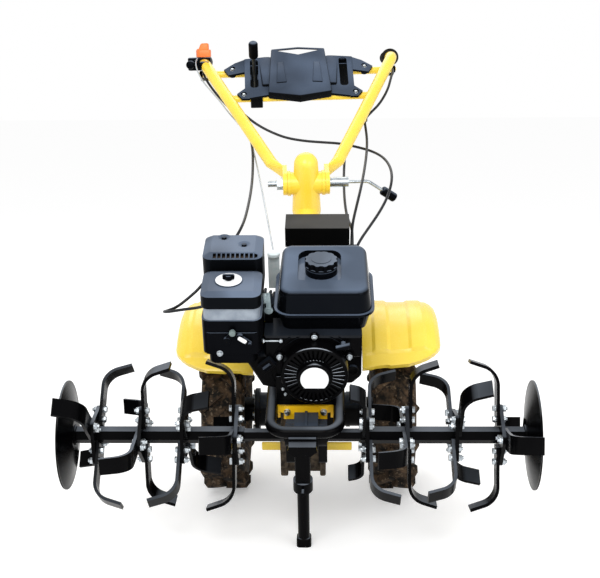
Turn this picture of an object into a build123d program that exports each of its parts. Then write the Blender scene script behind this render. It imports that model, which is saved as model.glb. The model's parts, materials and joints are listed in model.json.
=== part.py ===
"""Petrol power weeder: a front tine rotor, two lugged wheels, an engine and a folding handlebar.

All pieces are drawn in the machine's own frame: x to the right seen from the front, y to the rear,
z up, with the origin on the wheel axle. Parked, the machine leans on its front stand by PARK_PITCH.
"""
import os
from math import atan2, cos, degrees, radians, sin, sqrt, tan

from build123d import *

# Attitude when parked, and fits
PARK_PITCH = 20.0
RUN = 0.05
GAP = 0.4

# Wheels
CENTRE_X = 15.0
TYRE_R = 205.0
TYRE_W = 118.0
TRACK = 428.0
RIM_R = 101.0
RIM_FLANGE = 10.0
BEAD_HALF = 36.0
LUG_H = 16.0
LUG_LEN = 68.0
LUG_THICK = 19.0
LUG_SLANT = 40.0
LUGS_PER_SIDE = 13
AXLE_AF = 32.0
AXLE_R = 20.0
WHEEL_HUB_R = 32.0
WHEEL_HUB_LEN = 70.0

# Tine rotor
TINE_Y = -398.0
TINE_Z = 216.0
SHAFT_AF = 25.0
SHAFT_R = 16.0
SLEEVE_AF = 33.0
LEFT_HUBS = (-455.0, -352.0, -258.0, -139.0)
RIGHT_HUBS = (151.0, 239.0, 347.0, 448.0)
LEFT_PHASES = (-35.0, 10.0, -41.0, -6.0)
RIGHT_PHASES = (-47.0, 5.0, -51.0, -6.0)
LEFT_BENDS = (1, 1, -1, -1)
RIGHT_BENDS = (1, 1, -1, -1)
TIP_R = 168.0
PLATE_HALF = 74.0
PLATE_T = 8.0
BLADE_T = 7.0
BLADE_W = 42.0
BLADE_REACH = 70.0
SHORT_REACH = 41.0
BEND_R = 40.0
BEND_TURN = 72.0
BLADE_LEAD = 12.0
DISC_R = 122.0
DISC_X = 503.0
DISC_T = 3.0
DISC_DISH = 16.0
DISC_HUB_R = 38.0

# Engine
CRANK_X = 35.0
CRANK_Z = 365.0
NOSE_Y = -397.0
BASE_DROP = 106.0
STARTER_DEPTH = 47.0
STARTER_R = 66.0
STARTER_NOSE_R = 34.0
STARTER_SLOTS = 24
STARTER_BOLT_R = 74.0
STARTER_EARS = (90.0, 157.0, 23.0)
GRIP_X = 98.0
GRIP_Z = 428.0
FAN_DEPTH = 78.0
FAN_R = 68.0
FAN_TOP = 446.0
FAN_LEFT = -125.0
FAN_RIGHT = 139.0
FAN_STEP_Z = 392.0
FAN_GROOVES = (86.0, 95.0)
BLOCK_LEFT = -36.0
BLOCK_RIGHT = 100.0
BLOCK_REAR = -150.0
CYL_TILT = 25.0
CYL_Y = -205.0
CYL_R = 42.0
FIN_SIZE = 86.0
FIN_T = 4.0
FIN_PITCH = 9.0
FIN_START = 66.0
FIN_COUNT = 7
HEAD_LEN = 30.0
VALVE_COVER_LEN = 26.0

# Fuel tank
TANK_X = 56.5
TANK_W = 221.0
TANK_D = 211.0
TANK_FRONT = -337.0
TANK_SEAM = 488.0
TANK_FRONT_TOP = 540.0
TANK_REAR_TOP = 570.0
TANK_TAPER = 8.0
TANK_CORNER = 40.0
SEAM_T = 6.0
PAD_LEFT = -1.5
PAD_RIGHT = 94.0
PAD_FRONT = -291.0
PAD_REAR = -172.0
PAD_Z = 548.0
PAD_CORNER = 24.0
CAP_X = 50.0
CAP_Y = -245.0
CAP_R = 36.5
CAP_H = 16.0
CAP_Z = 565.0
CAP_LOBES = 12
LOBE_R = 9.0
LOBE_DEPTH = 3.5
NECK_RING_R = 24.0
NECK_RING_H = 7.0

# Air cleaner
AIR_LEFT = -206.0
AIR_RIGHT = -77.0
AIR_FRONT = -387.0
AIR_REAR = -272.0
AIR_BASE_Z = 398.0
BAND_Z = 508.0
COVER_Z = 537.5
COVER_TOP = 573.0
COVER_BEVEL = 16.0
COVER_BEVEL_H = 7.0
AIR_CORNER = 20.0
KNOB_DISC_R = 30.0
KNOB_X = -148.0
KNOB_Y = -326.0
KNOB_HALF = 13.0

# Muffler
GUARD_LEFT = -211.0
GUARD_RIGHT = -79.0
GUARD_FRONT = -264.0
GUARD_REAR = -150.0
GUARD_BOTTOM = 498.0
GUARD_TOP = 600.0
GUARD_WALL = 2.5
GUARD_CORNER = 20.0
GUARD_BEVEL = 17.0
GUARD_BEVEL_H = 10.0
GUARD_SCREWS = ((-168.0, -176.0), (-121.0, -210.0))
SCREW_DISH_R = 14.0
SCREW_DISH_H = 6.0
LOUVRES = 10
LOUVRE_W = 7.0

# Engine controls
POST_X = -61.0
POST_Y = -122.0
POST_W = 27.0
POST_T = 4.0
POST_TOP = 531.0
SWITCH_X = -70.0
SWITCH_Z = 376.0
SWITCH_W = 34.0
SWITCH_H = 24.0
SWITCH_LEAN = 40.0
ROCKER_R = 9.0
ROCKER_W = 20.0
ROCKER_PIN_R = 3.0
LEVER_PIN_R = 4.0
CHOKE_X = -152.0
CHOKE_Z = 462.0
TAP_X = -124.0
TAP_Z = 470.0
ARM_X = -66.0
ARM_Y = -300.0
ARM_Z = 481.0

# Gear case, frame and bumper
CASE_FRONT = -75.0
CASE_REAR = 55.0
CASE_HALF = 100.0
CLUTCH_R = 92.0
FRAME_T = 6.0
FRAME_FRONT = -345.0
FRAME_LEFT = -50.0
FRAME_RIGHT = 76.0
RAIL_H = 34.0
BUMPER_R = 13.0
BUMPER_Y = -444.0
BUMPER_Z = 257.0
BUMPER_BEND = 38.0
DRIVE_LEFT = -12.0
DRIVE_RIGHT = 42.0
DRIVE_R = 33.0
SKID_W = 20.0
SKID_BOTTOM = 110.0

# Stand
STAND_X = 8.0
STAND_Y = -459.0
SOCKET_W = 34.0
SOCKET_TOP = 236.0
SOCKET_BOTTOM = 136.0
COLLAR_R = 22.0
COLLAR_H = 24.0
LEG_R = 13.5
FOOT_W = 34.0
FOOT_H = 22.0

# Box on the gear case
BOX_LEFT = -38.0
BOX_RIGHT = 116.0
BOX_FRONT = -20.0
BOX_REAR = 58.0
BOX_BOTTOM = 491.0
BOX_TOP = 541.0

# Fenders
FENDER_R = 280.0
FENDER_IN = 132.0
FENDER_OUT = 326.0
FENDER_T = 2.0
FENDER_FRONT_IN = 123.0
FENDER_FRONT_OUT = 112.5
FENDER_REAR = 28.0
FENDER_LIP = 20.0
RIB_H = 6.0
RIB_W = 26.0
STAY_R = 10.0
STAY_ANGLES = (98.0, 81.0)

# Rear hitch
HITCH_R = 8.25
HITCH_Y = 100.0
HITCH_GAP = 40.0
HITCH_T = 8.0

# Handle neck and pivot
NECK_X = 9.0
PIVOT_Y = 225.0
PIVOT_Z = 546.0
NECK_LOW_R = 37.0
NECK_TOP_R = 30.5
NECK_TOP_Z = 598.0
ELBOW_Z = 470.0
NECK_FOOT_Z = 392.0
SLEEVE_HALF = 48.0
SLEEVE_R = 29.0
BOLT_R = 8.0
LOCK_LEN = 48.0

# Handlebar, turned a little to the left on its post
HANDLE_TURN = 3.4
ARM_R = 16.0
HUB_T = 11.0
HUB_R = 30.0
HUB_REACH = 42.0
ARM_START = 92.0
GRIP_HALF = 272.0
BEND_Y = 760.0
BEND_Z = 690.0
GRIP_RUN = 168.0
ARM_BEND = 70.0
CROSS_R = 10.0
CROSS_LOW = 392.0
CROSS_HIGH = 512.0
CROSS_DROP = 16.0
GRIP_R = 18.0
GRIP_LEN = 122.0
GRIP_FLANGE_R = 25.0
LEVER_DROP = 46.0
LEVER_LEN = 128.0
LEVER_PIN = 5.0
LEVER_AT = 32.0

# Console
CONSOLE_START = 376.0
CONSOLE_LEN = 170.0
CONSOLE_HALF = 113.0
CONSOLE_LOW = 14.0
CONSOLE_HIGH = 44.0
CONSOLE_WALL = 3.0
CONSOLE_CHIN = 24.0
WING_T = 6.0
GEAR_X = -126.0
GEAR_AT = 84.0
GEAR_ROD_R = 5.0
GEAR_KNOB_R = 13.0
GEAR_DROP = 48.0
GEAR_EAR = 26.0
GEAR_TOP = 112.0

# Control cables, and the shelf on the gear case where they end
CABLE_R = 3.5
WIRE_R = 2.0
CABLE_SEAT = 0.3
FERRULE_R = 4.0
ADJUSTER_R = 5.5
FERRULE_LEN = 20.0
SHELF_Z = 466.0
SHELF_T = 6.0
SHELF_RIGHT = 136.0

# Values worked out from the sizes above
BASE_Z = CRANK_Z - BASE_DROP
FAN_Y = NOSE_Y + STARTER_DEPTH
BLOCK_Y = FAN_Y + FAN_DEPTH
SWITCH_Y = FAN_Y - 9
TANK_Y = TANK_FRONT + TANK_D / 2
AIR_X = (AIR_LEFT + AIR_RIGHT) / 2
AIR_Y = (AIR_FRONT + AIR_REAR) / 2
ARM_SLOPE = degrees(atan2(BEND_Z - PIVOT_Z, BEND_Y - PIVOT_Y))
HUB_X = SLEEVE_HALF + GAP + HUB_T / 2
FRONT_UP = (0, -1, 0)
BASE = (Align.CENTER, Align.CENTER, Align.MIN)
PARKED = Pos(0, 0, TYRE_R) * Rot(PARK_PITCH, 0, 0)
TURN = Pos(NECK_X, PIVOT_Y, 0) * Rot(0, 0, HANDLE_TURN) * Pos(-NECK_X, -PIVOT_Y, 0)

parts = {}
level_parts = {}
handle_parts = {}


def rod(start, end, radius):
    """Round bar between two points."""
    a, b = Vector(start), Vector(end)
    return Plane(origin=a, z_dir=b - a) * Cylinder(radius, (b - a).length, align=BASE)


def bar_x(radius, x0, x1, y, z):
    """Round bar along x."""
    return rod((x0, y, z), (x1, y, z), radius)


def hex_x(flats, x0, x1, y, z):
    """Hexagonal bar along x."""
    plane = Plane(origin=(x0, y, z), x_dir=(0, 1, 0), z_dir=(1, 0, 0))
    return extrude(plane * RegularPolygon(flats / 2, 6, major_radius=False), x1 - x0)


def block(x0, x1, y0, y1, z0, z1):
    """Rectangular block between two corners."""
    return Pos((x0 + x1) / 2, (y0 + y1) / 2, (z0 + z1) / 2) * Box(x1 - x0, y1 - y0, z1 - z0)


def front_prism(sketch, y0, y1):
    """Outline seen from the front, in x and z, carried from y0 to y1."""
    return extrude(Plane(origin=(0, y1, 0), x_dir=(1, 0, 0), z_dir=FRONT_UP) * sketch, y1 - y0)


def side_prism(sketch, x0, x1):
    """Outline seen from the side, in y and z, carried from x0 to x1."""
    return extrude(Plane(origin=(x0, 0, 0), x_dir=(0, 1, 0), z_dir=(1, 0, 0)) * sketch, x1 - x0)


def plan_prism(sketch, z0, z1, taper=0.0):
    """Outline seen from above, carried from z0 to z1."""
    return extrude(Pos(0, 0, z0) * sketch, z1 - z0, taper=taper)


def outline(*points):
    """Filled polygon through points, left where they are."""
    return make_face(Polyline(*points, close=True))


def cylinder_y(x, z, y0, y1, radius):
    """Round bar along y."""
    return rod((x, y0, z), (x, y1, z), radius)


def polar(radius, angle):
    """Point at an angle from x, in a plane."""
    return radius * cos(radians(angle)), radius * sin(radians(angle))


def turned(shape):
    """Turn a shape with the handle, about the axis of the neck's post."""
    return TURN * shape


def turned_point(point):
    """Point of the handle, turned with it."""
    return tuple((TURN * Pos(*point)).position)


def make_tyre():
    """Solid tyre with a chevron of lugs on each shoulder, one lug at the lowest point."""
    crown = TYRE_R - LUG_H
    half = TYRE_W / 2
    bead_top = RIM_R + RIM_FLANGE + 3
    shoulder = (half - 12, crown - 7)
    belly = (half - 5, (bead_top + crown) / 2)
    edges = []
    edges.append(Line((-BEAD_HALF, RIM_R), (BEAD_HALF, RIM_R)))
    edges.append(Line((BEAD_HALF, RIM_R), (BEAD_HALF, bead_top)))
    edges.append(ThreePointArc((BEAD_HALF, bead_top), belly, shoulder))
    edges.append(ThreePointArc(shoulder, (0, crown), (-shoulder[0], shoulder[1])))
    edges.append(ThreePointArc((-shoulder[0], shoulder[1]), (-belly[0], belly[1]), (-BEAD_HALF, bead_top)))
    edges.append(Line((-BEAD_HALF, bead_top), (-BEAD_HALF, RIM_R)))
    carcass = revolve(make_face(edges), Axis.X)
    root = crown - LUG_H
    envelope = revolve(
        outline((-half, root), (-half, TYRE_R - 12), (-half + 10, TYRE_R), (half - 10, TYRE_R),
                (half, TYRE_R - 12), (half, root)),
        Axis.X,
    )
    bar = Pos(LUG_LEN * 0.43, 0, -crown) * Rot(0, 0, LUG_SLANT) * Box(LUG_LEN, LUG_THICK, 2 * LUG_H)
    right = bar & envelope
    left = mirror(right, Plane.YZ)
    pitch = 360 / LUGS_PER_SIDE
    lugs = []
    for i in range(LUGS_PER_SIDE):
        lugs.append(Rot(i * pitch, 0, 0) * right)
        lugs.append(Rot((i + 0.5) * pitch, 0, 0) * left)
    return carcass + lugs


def make_rim():
    """Pressed wheel for the right side: barrel with flanges, dished disc, hub towards the gear case."""
    inner = RIM_R - 0.2
    flange = RIM_R + RIM_FLANGE
    x1 = BEAD_HALF + 0.2
    x2 = x1 + 4
    wall = inner - 5
    barrel = revolve(
        outline((-x2, flange), (-x1, flange), (-x1, inner), (x1, inner), (x1, flange), (x2, flange),
                (x2, wall), (-x2, wall)),
        Axis.X,
    )
    disc = revolve(
        outline((-5, WHEEL_HUB_R - 3), (1, WHEEL_HUB_R - 3), (17, RIM_R * 0.6), (9, wall + 1), (3, wall + 1),
                (11, RIM_R * 0.6)),
        Axis.X,
    )
    hub = bar_x(WHEEL_HUB_R, -WHEEL_HUB_LEN, 14, 0, 0)
    rim = barrel + disc + hub
    rim -= hex_x(AXLE_AF + 2 * RUN, -WHEEL_HUB_LEN - 1, 15, 0, 0)
    for i in range(5):
        y, z = polar((WHEEL_HUB_R + RIM_R) / 2, 72 * i)
        rim -= bar_x(9, -40, 40, y, z)
    return rim


def build_wheels():
    """Hex axle with a round journal, both rims and both tyres."""
    tyre = make_tyre()
    rim = make_rim()
    half = TRACK / 2
    axle = hex_x(AXLE_AF, -half - 16, half + 16, 0, 0)
    axle += bar_x(AXLE_R - RUN, -CASE_HALF - 6, CASE_HALF + 6, 0, 0)
    level_parts["wheel_axle"] = Pos(CENTRE_X, 0, 0) * axle
    for name, side in (("right", 1), ("left", -1)):
        place = Pos(CENTRE_X + side * half, 0, 0)
        level_parts[f"tyre_{name}"] = place * (tyre if side > 0 else mirror(tyre, Plane.YZ))
        level_parts[f"rim_{name}"] = place * (rim if side > 0 else mirror(rim, Plane.YZ))


def make_blade(reach):
    """One tine blade standing up from the shaft, bent towards +x: a flat bar with a curved tip."""
    x0 = PLATE_T / 2
    x1 = x0 + BLADE_T
    turn = radians(BEND_TURN)
    bend = min(BEND_R, reach - x1 - BLADE_T)
    outer = bend + BLADE_T
    root = SLEEVE_AF / 2 + 8
    after = x1 + bend * (1 - cos(turn))
    flat = (reach - after) / sin(turn)
    start = TIP_R - BLADE_T * sin(turn) - flat * cos(turn) - bend * sin(turn)
    centre = (x1 + bend, start)

    def on_bend(radius, angle):
        """Point of the bend, at an angle from where it starts."""
        return centre[0] - radius * cos(angle), centre[1] + radius * sin(angle)

    tip_in = (reach, start + bend * sin(turn) + flat * cos(turn))
    tip_out = (reach - BLADE_T * cos(turn), TIP_R)
    bent = make_face([
        Line((x0, root), (x1, root)),
        Line((x1, root), (x1, start)),
        ThreePointArc((x1, start), on_bend(bend, turn / 2), on_bend(bend, turn)),
        Line(on_bend(bend, turn), tip_in),
        Line(tip_in, tip_out),
        Line(tip_out, on_bend(outer, turn)),
        ThreePointArc(on_bend(outer, turn), on_bend(outer, turn / 2), (x0, start)),
        Line((x0, start), (x0, root)),
    ])
    front = Plane(origin=(0, BLADE_W, 0), x_dir=(1, 0, 0), z_dir=FRONT_UP)
    bar = extrude(front * bent, 2 * BLADE_W)
    half = BLADE_W / 2
    past = TIP_R + BLADE_T
    knee = TIP_R * 0.75
    toe = half + BLADE_LEAD * 0.6
    heel = -half + BLADE_LEAD
    sickle = [
        Line((-half, 0), (half, 0)),
        Line((half, 0), (half, PLATE_HALF)),
        ThreePointArc((half, PLATE_HALF), (half + BLADE_LEAD * 0.2, knee), (toe, past)),
        Line((toe, past), (heel, past)),
        ThreePointArc((heel, past), (-half + BLADE_LEAD * 0.3, knee), (-half, PLATE_HALF)),
        Line((-half, PLATE_HALF), (-half, 0)),
    ]
    return bar & side_prism(make_face(sickle), -1, reach + 1)


def place_tine(piece, x, angle):
    """Turn a piece about the tine axle and carry it to its place."""
    return Pos(x, TINE_Y, TINE_Z) * Rot(angle - PARK_PITCH, 0, 0) * piece


def make_plate():
    """Square tine plate with rounded corners, corners towards the blades."""
    side = PLATE_HALF * sqrt(2)
    sketch = Rot(0, 0, 45) * RectangleRounded(side, side, 13)
    return side_prism(sketch, -PLATE_T / 2, PLATE_T / 2)


def build_rotor():
    """Hex shaft, sleeves with tine plates, blades and side discs."""
    end = DISC_X + 6
    shaft = hex_x(SHAFT_AF, -end, end, TINE_Y, TINE_Z)
    shaft += bar_x(SHAFT_R - RUN, DRIVE_LEFT - 22, DRIVE_RIGHT + 22, TINE_Y, TINE_Z)
    parts["tine_shaft"] = shaft
    long_blade = make_blade(BLADE_REACH)
    short_blade = make_blade(SHORT_REACH)
    plate = make_plate()
    sides = (("left", LEFT_HUBS, LEFT_PHASES, LEFT_BENDS), ("right", RIGHT_HUBS, RIGHT_PHASES, RIGHT_BENDS))
    for name, hubs, phases, bends in sides:
        sign = -1 if name == "left" else 1
        near = min(abs(x) for x in hubs) - 15
        far = DISC_X - DISC_T
        x0, x1 = sorted((sign * near, sign * far))
        sleeve = hex_x(SLEEVE_AF, x0, x1, TINE_Y, TINE_Z)
        for x, phase in zip(hubs, phases):
            sleeve += place_tine(plate, x, phase)
        sleeve -= hex_x(SHAFT_AF + 2 * RUN, x0 - 1, x1 + 1, TINE_Y, TINE_Z)
        parts[f"tine_sleeve_{name}"] = sleeve
        blades = []
        for x, phase, bend in zip(hubs, phases, bends):
            inmost = abs(x) == near + 15
            for quarter in range(4):
                way = bend if quarter % 2 == 0 else -bend
                blade = long_blade
                if inmost and way * sign < 0:
                    blade = short_blade
                    if sign < 0:
                        way = -way
                        blade = long_blade
                if way < 0:
                    blade = mirror(blade, Plane.YZ)
                blades.append(place_tine(blade, x, phase + 90 * quarter))
        parts[f"tine_blades_{name}"] = Compound(children=[b.solid() for b in blades])
        face = DISC_X
        dish = face + DISC_DISH
        disc = revolve(
            outline((face, SHAFT_AF / 2 * 1.2), (face, DISC_HUB_R), (dish, DISC_R - 4), (dish, DISC_R),
                    (dish + DISC_T, DISC_R), (dish + DISC_T, DISC_R - 4), (face + DISC_T, DISC_HUB_R),
                    (face + DISC_T, SHAFT_AF / 2 * 1.2)),
            Axis.X,
        )
        disc += bar_x(DISC_HUB_R * 0.6, face - DISC_T + GAP, face + 2, 0, 0)
        disc -= hex_x(SHAFT_AF + 2 * RUN, face - 10, face + 10, 0, 0)
        if sign < 0:
            disc = mirror(disc, Plane.YZ)
        parts[f"side_disc_{name}"] = Pos(0, TINE_Y, TINE_Z) * disc


def build_chassis():
    """Gear case, clutch housing, engine frame, bumper, rotor drive case and the box on top."""
    waist = Pos((CRANK_X + CENTRE_X) / 2, CRANK_Z / 2) * Circle(78)
    rings = [Pos(CRANK_X, CRANK_Z) * Circle(84), waist, Pos(CENTRE_X, 0) * Circle(68)]
    body = make_hull([e for ring in rings for e in ring.edges()])
    case = front_prism(body, CASE_FRONT, CASE_REAR)
    case = fillet(case.faces().sort_by(Axis.Y)[-1].edges(), 14)
    case += front_prism(offset(body, 7), -14, -4)
    left, right = CENTRE_X - CASE_HALF, CENTRE_X + CASE_HALF
    case += bar_x(38, left, right, 0, 0)
    for x in (left, right):
        case += bar_x(46, x - 5, x + 5, 0, 0)
    case += block(BOX_LEFT + 20, BOX_RIGHT - 20, BOX_FRONT + 8, BOX_REAR - 8, CRANK_Z + 40, BOX_BOTTOM)
    case += block(BOX_RIGHT - 26, SHELF_RIGHT, -62, 40, SHELF_Z - SHELF_T, SHELF_Z)
    case -= bar_x(AXLE_R, left - 10, right + 10, 0, 0)
    parts["gear_case"] = case

    clutch = Plane(origin=(CRANK_X, BLOCK_REAR, CRANK_Z), z_dir=(0, 1, 0))
    depth = CASE_FRONT - BLOCK_REAR
    bell = clutch * Cone(CLUTCH_R * 0.82, CLUTCH_R, depth * 0.45, align=BASE)
    bell += cylinder_y(CRANK_X, CRANK_Z, BLOCK_REAR + depth * 0.45, CASE_FRONT - 8, CLUTCH_R - 4)
    bell += cylinder_y(CRANK_X, CRANK_Z, CASE_FRONT - 8, CASE_FRONT, CLUTCH_R + 4)
    for i in range(8):
        x, z = polar(CLUTCH_R - 2, 45 * i)
        bell += cylinder_y(CRANK_X + x, CRANK_Z + z, BLOCK_REAR + depth * 0.4, CASE_FRONT - 4, 7)
    parts["clutch_housing"] = bell

    frame = block(FRAME_LEFT, FRAME_RIGHT, FRAME_FRONT, CASE_FRONT, BASE_Z - FRAME_T, BASE_Z)
    for x in (FRAME_LEFT, FRAME_RIGHT - FRAME_T):
        frame += block(x, x + FRAME_T, FRAME_FRONT, CASE_FRONT, BASE_Z - RAIL_H, BASE_Z)
    face = FRAME_FRONT - FRAME_T
    frame += block(FRAME_LEFT + 14, FRAME_RIGHT - 14, face, FRAME_FRONT, BASE_Z - RAIL_H, BASE_Z + 2)
    for side, x in ((1, FRAME_LEFT), (-1, FRAME_RIGHT)):
        wing = outline((x, FRAME_FRONT), (x + side * 14, face), (x + side * 14, FRAME_FRONT))
        frame += plan_prism(wing, BASE_Z - RAIL_H * 0.5, BASE_Z + 2)

    legs = [
        (FRAME_LEFT - BUMPER_R, FRAME_FRONT + 70, BUMPER_Z),
        (FRAME_LEFT - BUMPER_R, BUMPER_Y, BUMPER_Z),
        (FRAME_RIGHT + BUMPER_R, BUMPER_Y, BUMPER_Z),
        (FRAME_RIGHT + BUMPER_R, FRAME_FRONT + 70, BUMPER_Z),
    ]
    path = FilletPolyline(*legs, radius=BUMPER_BEND)
    section = Plane(origin=legs[0], z_dir=(0, -1, 0)) * Circle(BUMPER_R)
    parts["front_bumper"] = sweep(section, path=path)

    nose = Pos(TINE_Y, TINE_Z) * Circle(DRIVE_R)
    tail_r = DRIVE_R * 1.4
    tail = Pos(CASE_FRONT - tail_r, BASE_Z - RAIL_H - tail_r - 8) * Circle(tail_r)
    chain = make_hull(list(nose.edges()) + list(tail.edges()))
    drive = side_prism(chain, DRIVE_LEFT, DRIVE_RIGHT)
    seam = (DRIVE_LEFT + DRIVE_RIGHT) / 2
    drive += side_prism(offset(chain, 4), seam - 3, seam + 3)
    middle = BASE_Z - RAIL_H - tail_r - 8
    drive += block(DRIVE_LEFT, DRIVE_RIGHT, CASE_FRONT - tail_r, CASE_FRONT, middle - tail_r, middle + tail_r)
    drive += bar_x(DRIVE_R - 8, DRIVE_LEFT - 20, DRIVE_RIGHT + 20, TINE_Y, TINE_Z)
    for x in (DRIVE_LEFT - SKID_W, DRIVE_RIGHT):
        tall = TINE_Z + 8 - SKID_BOTTOM
        skid = Pos(TINE_Y + 42, SKID_BOTTOM + tall / 2) * RectangleRounded(30, tall, 12)
        drive += side_prism(skid, x, x + SKID_W)
    drive -= bar_x(SHAFT_R, DRIVE_LEFT - 40, DRIVE_RIGHT + 40, TINE_Y, TINE_Z)
    drive -= block(DRIVE_LEFT - 1, DRIVE_RIGHT + 1, CASE_FRONT, CASE_REAR, 0, BASE_Z)
    parts["tine_drive_case"] = drive
    parts["engine_frame"] = frame - drive

    box = block(BOX_LEFT, BOX_RIGHT, BOX_FRONT, BOX_REAR, BOX_BOTTOM, BOX_TOP)
    parts["black_box"] = fillet(box.edges(), 1.5)


def build_stand():
    """Socket and collar under the bumper, and the sliding leg with its foot flat on the ground."""
    bracket = front_prism(
        outline((STAND_X - 30, BUMPER_Z - 16), (STAND_X + 30, BUMPER_Z - 16), (STAND_X + 32, BUMPER_Z - 30),
                (STAND_X + SOCKET_W / 2, SOCKET_TOP - 22), (STAND_X - SOCKET_W / 2, SOCKET_TOP - 22),
                (STAND_X - 32, BUMPER_Z - 30)),
        STAND_Y - SOCKET_W / 2, STAND_Y + SOCKET_W / 2 + 4,
    )
    saddle = bar_x(BUMPER_R + 7, STAND_X - 30, STAND_X + 30, BUMPER_Y, BUMPER_Z)
    behind = TINE_Y - DRIVE_R - 5
    saddle &= block(STAND_X - 40, STAND_X + 40, STAND_Y - 60, behind, BUMPER_Z - 40, BUMPER_Z - 3)
    socket = bracket + saddle
    post = Pos(STAND_X, STAND_Y) * RectangleRounded(SOCKET_W, SOCKET_W, 5)
    socket += plan_prism(post, SOCKET_BOTTOM, SOCKET_TOP - 10)
    collar_bottom = SOCKET_BOTTOM - COLLAR_H
    pin_z = SOCKET_BOTTOM - COLLAR_H / 2
    socket += rod((STAND_X, STAND_Y, collar_bottom), (STAND_X, STAND_Y, SOCKET_BOTTOM + 4), COLLAR_R)
    socket += rod((STAND_X, STAND_Y, pin_z), (STAND_X, STAND_Y - COLLAR_R - 14, pin_z), 5)
    socket -= rod((STAND_X, STAND_Y, collar_bottom - 5), (STAND_X, STAND_Y, SOCKET_TOP - 14), LEG_R + RUN)
    socket -= bar_x(BUMPER_R, STAND_X - 60, STAND_X + 60, BUMPER_Y, BUMPER_Z)
    parts["stand_socket"] = socket

    pitch = radians(PARK_PITCH)
    ground_z = -(TYRE_R + STAND_Y * sin(pitch)) / cos(pitch)
    ground = Plane(origin=(STAND_X, STAND_Y, ground_z), x_dir=(1, 0, 0), z_dir=(0, sin(pitch), cos(pitch)))
    leg = rod((STAND_X, STAND_Y, ground_z + 4), (STAND_X, STAND_Y, SOCKET_TOP - 16), LEG_R)
    foot = extrude(ground * RectangleRounded(FOOT_W, FOOT_W + 10, 10), FOOT_H)
    leg += fillet(foot.faces().sort_by(Axis.Z)[-1].edges(), 6)
    below = extrude(ground * Rectangle(200, 200), -80)
    parts["stand_leg"] = leg - below


def fender_section():
    """Pressed section across a fender, as x and radius, with two raised ribs and turned edges."""
    width = FENDER_OUT - FENDER_IN
    tops = [(FENDER_IN, FENDER_R - FENDER_LIP), (FENDER_IN, FENDER_R)]
    for share in (0.3, 0.68):
        middle = FENDER_IN + share * width
        tops.append((middle - RIB_W / 2, FENDER_R))
        tops.append((middle - RIB_W / 2 + RIB_H, FENDER_R + RIB_H))
        tops.append((middle + RIB_W / 2 - RIB_H, FENDER_R + RIB_H))
        tops.append((middle + RIB_W / 2, FENDER_R))
    tops += [(FENDER_OUT, FENDER_R), (FENDER_OUT, FENDER_R - FENDER_LIP)]
    skin = []
    for i, (x, r) in enumerate(tops):
        inward = FENDER_T if i < 2 else -FENDER_T if i >= len(tops) - 2 else 0
        drop = 0 if i in (0, len(tops) - 1) else FENDER_T
        skin.append((x + inward, r - drop))
    return outline(*tops, *reversed(skin))


def build_fenders():
    """Two pressed fenders over the wheels and the stays that carry them from the gear case."""
    turn = FENDER_FRONT_IN - FENDER_REAR
    skin = Rot(FENDER_REAR, 0, 0) * revolve(fender_section(), Axis.X, revolution_arc=turn)
    edge = FENDER_R - FENDER_LIP
    band = outline((FENDER_IN, edge), (FENDER_OUT, edge), (FENDER_OUT, FENDER_R), (FENDER_IN, FENDER_R))
    filled = Rot(FENDER_REAR, 0, 0) * revolve(band, Axis.X, revolution_arc=turn)
    y_in = polar(FENDER_R, FENDER_FRONT_IN)[0]
    y_out = polar(FENDER_R, FENDER_FRONT_OUT)[0]
    far = -2 * FENDER_R
    ahead = outline((FENDER_IN, y_in), (FENDER_OUT, y_out), (FENDER_OUT, far), (FENDER_IN, far))
    lip = outline((FENDER_IN, y_in), (FENDER_OUT, y_out), (FENDER_OUT, y_out + FENDER_T),
                  (FENDER_IN, y_in + FENDER_T))
    skin -= plan_prism(ahead, 0, 2 * FENDER_R)
    skin += plan_prism(lip, 0, 2 * FENDER_R) & filled
    parts["fender_right"] = Pos(CENTRE_X, 0, 0) * skin
    parts["fender_left"] = Pos(CENTRE_X, 0, 0) * mirror(skin, Plane.YZ)

    reach = FENDER_OUT - 40
    radius = FENDER_R - FENDER_T
    bars = []
    for angle in STAY_ANGLES:
        y, z = polar(radius - STAY_R + 3, angle)
        bars.append(bar_x(STAY_R, CENTRE_X - reach, CENTRE_X + reach, y, z))
    stays = (bars[0] + bars[1]) & bar_x(radius, CENTRE_X - reach, CENTRE_X + reach, 0, 0)
    parts["fender_stays"] = stays - parts["gear_case"] - parts["fender_left"] - parts["fender_right"]

    plate = front_prism(Pos(CENTRE_X, 0) * RectangleRounded(84, 76, 12), CASE_REAR, CASE_REAR + HITCH_T)
    ear = make_hull(list((Pos(CENTRE_X, HITCH_Y) * Circle(HITCH_R * 2.2)).edges())
                    + list((Pos(CENTRE_X, CASE_REAR + HITCH_T / 2) * Rectangle(60, HITCH_T)).edges()))
    for z in (-HITCH_GAP / 2 - HITCH_T, HITCH_GAP / 2):
        plate += plan_prism(ear, z, z + HITCH_T)
    plate -= rod((CENTRE_X, HITCH_Y, -HITCH_GAP), (CENTRE_X, HITCH_Y, HITCH_GAP), HITCH_R)
    parts["hitch_bracket"] = plate


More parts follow.
